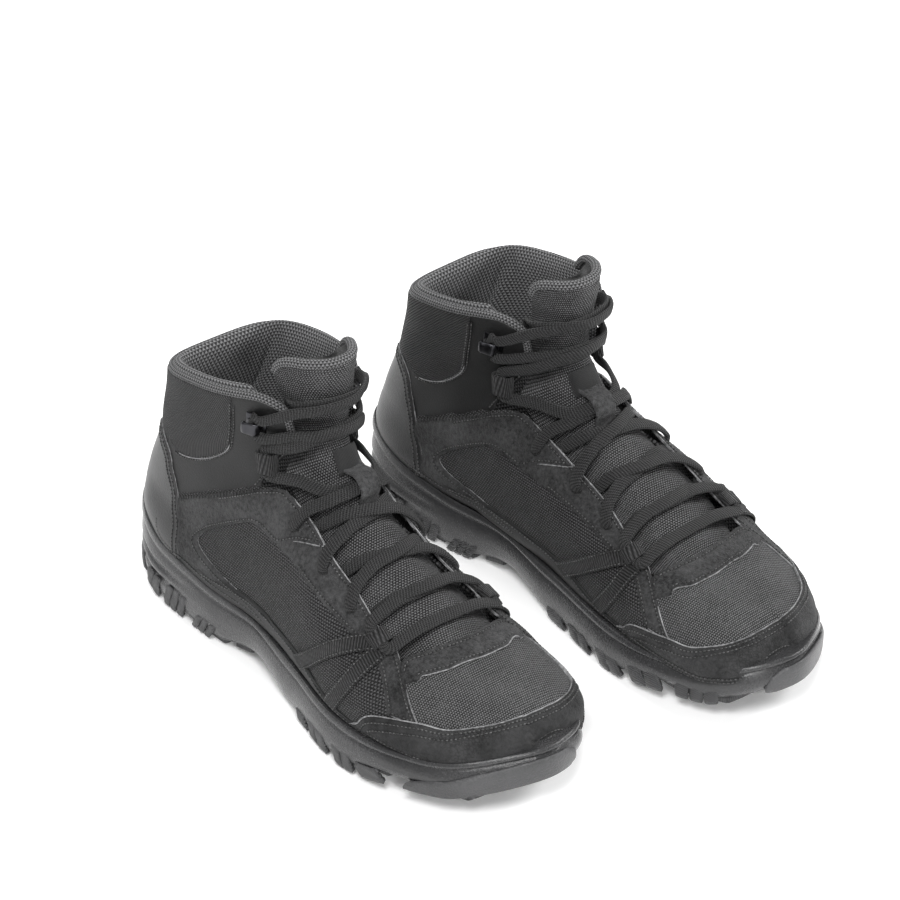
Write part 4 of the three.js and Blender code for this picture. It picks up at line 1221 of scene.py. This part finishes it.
def makeTongue():
    stations = np.concatenate([np.linspace(2.85, 6.5, 28), np.linspace(6.65, 13.1, 66), [13.22, 13.3, 13.35]])
    halfWidth = np.interp(stations, [2.85, 3.7, 6.5, 8.2, 8.9, 10.5, 11.6, 12.3, 13.0, 13.35],
                          [30, 46, 50, 52, 42, 43, 52, 59, 57, 50])
    around = tongue["around"]
    turn = np.linspace(0, 2 * math.pi, around, endpoint=False)
    rings = []
    for s, half in zip(stations, halfWidth):
        across = -np.cos(turn)
        a = midline + half * across * np.where(across > 0, 1 - 0.24 * smoothstep(s, 10.5, 12.3), 1)
        roundTop = math.sqrt(max(1 - max((s - 13.05) / 0.31, 0) ** 2, 0.03))
        thick = tongue["thick"] * (1 - 0.45 * np.abs(across)) * roundTop
        middle = tongueHigh(s, a) - tongue["thick"] / 2
        swellBy = 0.35 * math.sin(s * 4.1) * np.sin(a * 0.12)
        h = middle + thick / 2 * np.sign(np.sin(turn)) * np.abs(np.sin(turn)) ** 0.55 + swellBy
        rings.append(surface(s, a, h))
    rings = np.array(rings)
    along = np.concatenate(([0], np.cumsum(np.linalg.norm(np.diff(rings[:, 11], axis=0), axis=1))))
    widest = np.concatenate([rings, rings[:, :1]], 1)[50]
    across = np.concatenate(([0], np.cumsum(np.linalg.norm(np.diff(widest, axis=0), axis=1))))
    bm = loft(rings, True, True, np.stack(np.meshgrid(across, along), -1))
    bm.verts.ensure_lookup_table()
    edges = {0, 1, around - 1, around // 2 - 1, around // 2, around // 2 + 1}
    pinned = [v.index for v in bm.verts if v.index % around in edges or v.index // around in (0, 1, 60, 61)]
    puff(bm, pinned, tongue["pressure"], tongue["cap"])
    pads = bothBoots("tongue_padding", bm, "tongueWeave", ["tongue"], (), [rounding()])
    rim = [(12.75, -60), (13.1, -57), (13.3, -48), (13.34, -25), (13.36, 0), (13.34, 20), (13.3, 37), (13.1, 43),
           (12.75, 45)]
    pattern = UpperPattern(12.9, 180)
    line = curve(pattern.flat([(s, midline + a) for s, a in rim]), False, 2.0)
    s, a = pattern.places(line)
    centres = surface(s, a, tongueHigh(s, a) - 3.3)
    normals = normalAt(s, a)
    bm = sweep(centres, normals, oval(*tongue["binding"], 14, 2.2))
    bothBoots("tongue_binding", bm, "trimMesh")
    print("tongue padded")


tag = {"wide": 15.5, "low": 7.1, "high": 8.45, "rise": 2.0, "thick": 1.2}
keeper = {"wide": 12.5, "rise": 7.6, "reach": 11.5, "thick": 1.1}


def makeTagAndKeeper():
    # the tag is a folded tape with a plain face; the keeper is a suede strip that arches over the laces
    origin, t, u, n = frameAt("outer", (6.5, midline), float(tongueHigh(6.5, midline)))
    r, rise = keeper["reach"], keeper["rise"]
    path = [(-r, 0.5), (-r + 1.5, 0.6), (-r + 4, 2.6), (-r + 6.2, 6.0), (-3, rise), (0, rise + 0.2), (3, rise),
            (r - 6.2, 6.2), (r - 4, 3.2), (r - 1.5, 1.3), (r, 1.1)]
    line = curve(path, False, 0.9)
    centres = origin + (line[:, :1] * u + line[:, 1:] * n) / 1000
    ahead = np.gradient(centres, axis=0)
    normals = np.cross(np.broadcast_to(t, ahead.shape), ahead)
    normals *= np.sign(normals @ n)[:, None]
    bm = sweep(centres, normals, oval(keeper["wide"] / 1000, keeper["thick"] / 1000, 16, 5))
    bothBoots("keeper_strip", bm, "suede", ["lace_keeper"])
    pattern = UpperPattern(7.7, 180)
    half = tag["wide"] / 2
    low, high = pattern.flat([(tag["low"], midline), (tag["high"], midline)])
    left, right = low[0] - half, low[0] + half
    s, a = pattern.places(np.array([(left, low[1]), (right, low[1]), (right, high[1]), (left, high[1])]))
    places = [p for p in zip(s, a) for _ in (0, 1)]  # each corner twice
    bm = cutPanel(pattern, places, lambda s, a: tongueHigh(s, a) + tag["rise"], plainEdge, cell["fine"],
                  "flat")
    # the tag's rim is pale: partly raw cut, partly painted highlight
    bothBoots("tongue_tag", bm, "label", ["tongue_label"], ("cutEdgeAndHighlight",), [thickness(tag["thick"], 1)],
              False)
    print("tag and keeper sewn")


# the sole's outline, as (across, along), and the height of its wall, as (along, height)
sole = {
    "outer": [(10, 0), (28, 9), (40, 34), (42, 80), (40, 120), (46, 160), (54, 200), (51, 240), (36, 274),
              (6, 295)],
    "inner": [(-10, 0), (-28, 9), (-37, 34), (-37, 72), (-33, 112), (-39, 160), (-48, 210), (-47, 250),
              (-34, 283), (-14, 296)],
    "length": 298, "toeSpring": 17, "archRise": 6, "tread": 9.3, "step": 1.5,
    "cup": [(0, 50), (15, 45), (40, 37), (80, 32), (130, 29), (180, 27.5), (230, 26.5), (262, 27.5),
            (282, 32), (298, 37)],
}
soleLine = anticlockwise(curve(sole["outer"] + sole["inner"][::-1], True, sole["step"]))
soleNormal = outwardNormals(soleLine)
soleRun = np.arange(len(soleLine)) * sole["step"]


def spring(f):
    return sole["toeSpring"] * np.maximum((f / sole["length"] - 0.72) / 0.28, 0) ** 2


def arch(f):
    return sole["archRise"] * np.maximum(np.cos((f / sole["length"] - 0.41) * math.pi / 0.2), 0)


def cupTop(f):
    at = np.array(sole["cup"], float)
    rough = np.interp(f[:, None] + np.linspace(-9, 9, 9), at[:, 0], at[:, 1])
    return rough.mean(1)


def waistBulge(f):  # the wall stands a little proud from the waist to the ball
    return 1.6 * smoothstep(f, 110, 150) * smoothstep(-f, -262, -225)


def wallBase(f):
    return spring(f) + arch(f) * 0.6


class FlatPlan:  # a pattern whose places are its own millimetres
    def flat(self, places):
        return np.array(places, float)

    def places(self, xy):
        return xy[:, 1], xy[:, 0]


class SoleWall(FlatPlan):  # millimetres round the sole, and height up its wall
    def lift(self, xy, h):
        at = (xy[:, 0] / sole["step"]) % len(soleLine)
        low = np.floor(at).astype(int)
        part = (at - low)[:, None]
        high = (low + 1) % len(soleLine)
        point = soleLine[low] * (1 - part) + soleLine[high] * part
        normal = soleNormal[low] * (1 - part) + soleNormal[high] * part
        flare = wallInset(xy[:, 1] / 30)
        out = point + normal * (np.asarray(h, float) - flare + waistBulge(point[:, 1]))[:, None]
        return np.stack([out[:, 0], last["middleF"] - out[:, 1], xy[:, 1] + wallBase(point[:, 1])], -1) / 1000


def wallInset(w):
    return np.interp(w, [0, 0.15, 0.35, 0.6, 1.0], [1.6, 0.6, 0.2, 0.5, 2.0])


def gapToUpper(z):
    # how far in from the sole's outline the upper stands at that height, in millimetres
    s, a = np.meshgrid(np.linspace(0.03, 8.6, 200), np.linspace(-100, 100, 161))
    skin = surface(s.ravel(), a.ravel(), 2.3) * 1000
    tree = KDTree(len(skin))
    for k, point in enumerate(skin):
        tree.insert((point[0], point[1], point[2] * 4), k)
    tree.balance()
    gaps = []
    for point, high in zip(soleLine, z):
        place = Vector((point[0], last["middleF"] - point[1], high * 4))
        found = tree.find(place)[0]
        gaps.append((found.xy - place.xy).length)
    gaps = np.array(gaps)
    for _ in range(8):
        gaps = (np.roll(gaps, 1) + gaps * 2 + np.roll(gaps, -1)) / 4
    return gaps


def soleRing(inset, z):
    line = soleLine - soleNormal * np.asarray(inset).reshape(-1, 1)
    return np.stack([line[:, 0], last["middleF"] - line[:, 1], np.broadcast_to(z, len(line))], -1) * 0.001


def gapAtLip():  # where along the foot, and how wide the gap is there, on each side
    gaps = gapToUpper(cupTop(soleLine[:, 1]))
    table = {}
    for which, mask in (("outer", soleLine[:, 0] > 0), ("inner", soleLine[:, 0] <= 0)):
        order = np.argsort(soleLine[mask, 1])
        table[which] = (soleLine[mask, 1][order], gaps[mask][order])
    return table


lipGap = gapAtLip()
midsole = {  # the wall's section, as (share of its height, inset)
    "section": [(0.0, 4.5), (0.0, 2.0), (0.05, 1.2), (0.14, 0.75), (0.19, 0.53), (0.24, 0.35), (0.29, 0.24),
                (0.34, 0.15), (0.38, 0.12), (0.42, 0.1), (0.45, 0.12), (0.48, 0.15), (0.505, 0.22), (0.53, 0.3),
                (0.555, 0.4), (0.58, 0.5), (0.605, 0.64), (0.63, 0.8), (0.655, 0.97), (0.68, 1.15), (0.72, 1.5),
                (0.75, 1.95), (0.775, 2.15), (0.8, 1.7), (0.83, 1.05), (0.87, 0.75), (0.91, 0.8), (0.94, 1.0),
                (0.965, 1.3), (0.985, 1.5), (0.995, 1.75), (1.0, 2.2)],
    "grooves": [(1.9, 0.30, 0.0024, 0.055), (1.6, 0.52, 0.0030, 0.05)],  # depth, share of height, rise, width
    "ledge": [(0.0, 0.985), (0.4, 0.955), (0.8, 0.945), (1.0, 0.94)],  # share of the gap, share of height
    "toeSwell": 0.7,
}


def makeMidsole():
    f = soleLine[:, 1]
    bottom = spring(f) + sole["tread"] * 0.55 + arch(f)
    rise = cupTop(f) - bottom
    heelPart = smoothstep(f, 75, 35)
    toePart = smoothstep(f, 225, 265)
    rings = []
    for w, inset in midsole["section"]:
        groove = sum(depth * np.exp(-((w - at - climb * (f - 40)) / wide) ** 2) * heelPart
                     for depth, at, climb, wide in midsole["grooves"])
        swelling = -midsole["toeSwell"] * np.exp(-((w - 0.3) / 0.22) ** 2) * toePart
        rings.append(soleRing(inset + groove + swelling - waistBulge(f), bottom + rise * w))
    gap = np.maximum(gapToUpper(cupTop(f)), 3.6)
    for share, w in midsole["ledge"]:  # the ledge runs in to the upper
        rings.append(soleRing(3.0 + (gap + 1.6 - 3.0) * share, bottom + rise * w))
    rings.append(soleRing(gap + 2.2, bottom + rise * 0.7))
    bm = loft(rings, True, False)
    bmesh.ops.holes_fill(bm, edges=[e for e in bm.edges if e.is_boundary], sides=0)
    bothBoots("midsole_wall", bm, "midsole", ["midsole"])
    print("midsole moulded")


def makeOutsole():
    f = soleLine[:, 1]
    wave = 2.2 * np.maximum(np.sin(soleRun * 2 * math.pi / 52), 0) ** 2
    ground = spring(f) + arch(f)
    profile = [(3.4, 9.0, 0), (3.4, 4.2, 0), (3.6, 3.4, 0), (4.4, 2.3, 0), (5.6, 1.5, 0), (7.0, 1.1, 0.5),
               (8.2, 1.3, 1), (8.8, 1.9, 1), (9.0, 3.2, 1)]  # height, inset, share of the wave
    rings = [soleRing(inset, ground + z + wave * up) for z, inset, up in profile]
    bm = loft(rings, True, False)
    bmesh.ops.holes_fill(bm, edges=[e for e in bm.edges if e.is_boundary], sides=0)
    bothBoots("outsole_plate", bm, "outsole", ["outsole"])
    makeSideLugs()
    makeTread()
    print("outsole moulded")


# side lugs: middle along the foot, width, top height, lean and how many slits, on each side
sideLugs = {
    "outer": [(0.6, 15, 13, 0, 1), (10, 17, 15, 2, 2), (31, 15, 14, 4, 1), (52, 18, 16, 6, 2),
              (75, 16, 12, 7, 2), (172, 10, 8, -3, 0), (190, 17, 12, -3, 1), (212, 14, 12, -3, 1),
              (232, 16, 9, -4, 0)],
    "inner": [(0.6, 15, 13, 0, 1), (12, 17, 15, 2, 2), (34, 16, 15, 4, 1), (58, 20, 14, 6, 2),
              (84, 16, 11, 7, 2), (166, 14, 8, -3, 0), (188, 17, 10, -4, 1), (212, 17, 11, -4, 1),
              (238, 20, 12, -3, 1), (266, 24, 12, 0, 2)],
}
lugEdge = [(0.35, 0.8), (0.4, 0.2), (0.5, 0.0)]
treadEdge = [(0.4, 0.7), (0.6, 0.15)]
lug = {"proud": 0.7, "deep": 2.2, "bumper": 1.7, "slit": 0.35, "round": 0.15}
toeBumper = [(-40, 2), (-42, 5), (-37, 9), (-22, 12.5), (-4, 15), (14, 16), (32, 15.5), (44, 14), (50, 9),
             (48, 3), (22, 2.2), (-14, 2)]


def roundedCorners(corners, share):  # each corner becomes two points, a little towards its neighbours
    places = []
    for i, c in enumerate(corners):
        for other in (corners[i - 1], corners[(i + 1) % len(corners)]):
            places.append(tuple(np.array(c) * (1 - share) + np.array(other) * share))
    return places


def runAt(f, which):
    outerSide = soleLine[:, 0] > (-4 if which == "outer" else 4)
    mask = outerSide if which == "outer" else ~outerSide
    index = np.where(mask)[0]
    return soleRun[index[np.argmin(np.abs(soleLine[index, 1] - f))]]


def makeSideLugs():
    wall = SoleWall()
    whole = bmesh.new()
    for which, rows in sideLugs.items():
        forward = 1 if runAt(60, which) < runAt(120, which) else -1
        for f, wide, tall, lean, slits in rows:
            middle = runAt(f, which)
            part = wide / (slits + 1)
            for k in range(slits + 1):
                x0 = middle + forward * (-wide / 2 + k * part + lug["slit"])
                x1 = middle + forward * (-wide / 2 + (k + 1) * part - lug["slit"])
                low, high = 0.6, tall - 0.8 * abs(k - slits / 2)
                aside = forward * lean
                corners = [(x0, low), (x1, low), (x1 + aside, high), (x0 + aside, high)]
                places = roundedCorners(corners, lug["round"])
                bm = cutPanel(wall, places, lambda s, a: lug["proud"], lugEdge, 3.0, "flat", 1.0)
                orientOut(bm, wall, middle)
                bmesh.ops.solidify(bm, geom=bm.faces, thickness=lug["deep"] / 1000)
                join(whole, bm)
    bumper = [(runAt(284, "outer") + along, z) for along, z in toeBumper]
    bothBoots("side_lugs", whole, "lugs")
    bm = cutPanel(wall, bumper, lambda s, a: lug["bumper"], lugEdge, 3.0, "flat", 1.4)
    orientOut(bm, wall, bumper[4][0])
    bmesh.ops.solidify(bm, geom=bm.faces, thickness=lug["deep"] / 1000)
    bothBoots("toe_bumper", bm, "bumper")


def orientOut(bm, pattern, middle):
    bm.normal_update()
    probe = np.array([[middle, 8.0]])
    out = Vector((pattern.lift(probe, 1.0) - pattern.lift(probe, 0.0))[0])
    near = Vector(pattern.lift(probe, 0.0)[0])
    face = min(bm.faces, key=lambda each: (each.calc_center_median() - near).length)
    if face.normal.dot(out) < 0:
        bmesh.ops.reverse_faces(bm, faces=bm.faces)


class TreadPlan(FlatPlan):  # across and along the foot; heights run down from the plate
    def lift(self, xy, h):
        z = spring(xy[:, 1]) + arch(xy[:, 1]) + 3.5 - np.asarray(h, float)
        return np.stack([xy[:, 0], last["middleF"] - xy[:, 1], z], -1) / 1000


tread = {"deep": 3.4, "pitch": 21, "gap": 3.4, "thick": 4.0, "margin": 4.5, "bend": 5, "round": 0.14}


def makeTread():
    # rows of three lugs with bent ends, left out under the arch
    plan = TreadPlan()
    whole = bmesh.new()
    for back in np.arange(12, 292, tread["pitch"]):
        right, left = (float(np.interp(back + 8, *np.array(sole[which], float).T[::-1]))
                       for which in ("outer", "inner"))
        left, right = left + tread["margin"], right - tread["margin"]
        if 96 < back < 150 or right - left < 24:
            continue
        wide = (right - left - 2 * tread["gap"]) / 3
        front = back + tread["pitch"] - tread["gap"]
        chevron = tread["bend"] if back > 140 else -tread["bend"]
        for k, (tilt, bend) in enumerate(((-chevron, 0), (0, chevron), (chevron, 0))):
            x0 = left + k * (wide + tread["gap"])
            x1 = x0 + wide
            corners = [(x0, back + max(tilt, 0) * 0.6), ((x0 + x1) / 2, back + bend * 0.5),
                       (x1, back + max(-tilt, 0) * 0.6), (x1, front - max(tilt, 0) * 0.4),
                       ((x0 + x1) / 2, front + bend * 0.5), (x0, front - max(-tilt, 0) * 0.4)]
            places = roundedCorners(corners, tread["round"])
            bm = cutPanel(plan, places, lambda s, a: tread["deep"], treadEdge, 9, "flat", 2.0)
            bm.normal_update()
            if sum(each.normal.z for each in bm.faces) > 0:
                bmesh.ops.reverse_faces(bm, faces=bm.faces)
            bmesh.ops.solidify(bm, geom=bm.faces, thickness=tread["thick"] / 1000)
            join(whole, bm)
    bothBoots("tread_lugs", whole, "lugs")


def dressNodes():  # the frame's own nodes that stay in sight
    # their dark colours are painted shade: these parts sit in the shade inside the boot
    wear = {"lasting_board": "board", "toe_puff": "stiffener", "heel_stiffener": "stiffener"}
    for node, finish in wear.items():
        for foot in ("left", "right"):
            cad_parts[f"{foot}_{node}"].material_slots[0].material = finishes[finish].material
    print("inner parts dressed")


bpy.context.scene.view_settings.view_transform = "Standard"
makeCamera()
makeLights()
makeFloor()
makeBaseLayers()
makeOverlays()
makeStraps()
makeHooks()
makeLace()
makeCollar()
makeTongue()
makeTagAndKeeper()
makeMidsole()
makeOutsole()
makeStitching()
makeCutAndHighlightEdges()
dressNodes()

print("boots ready")
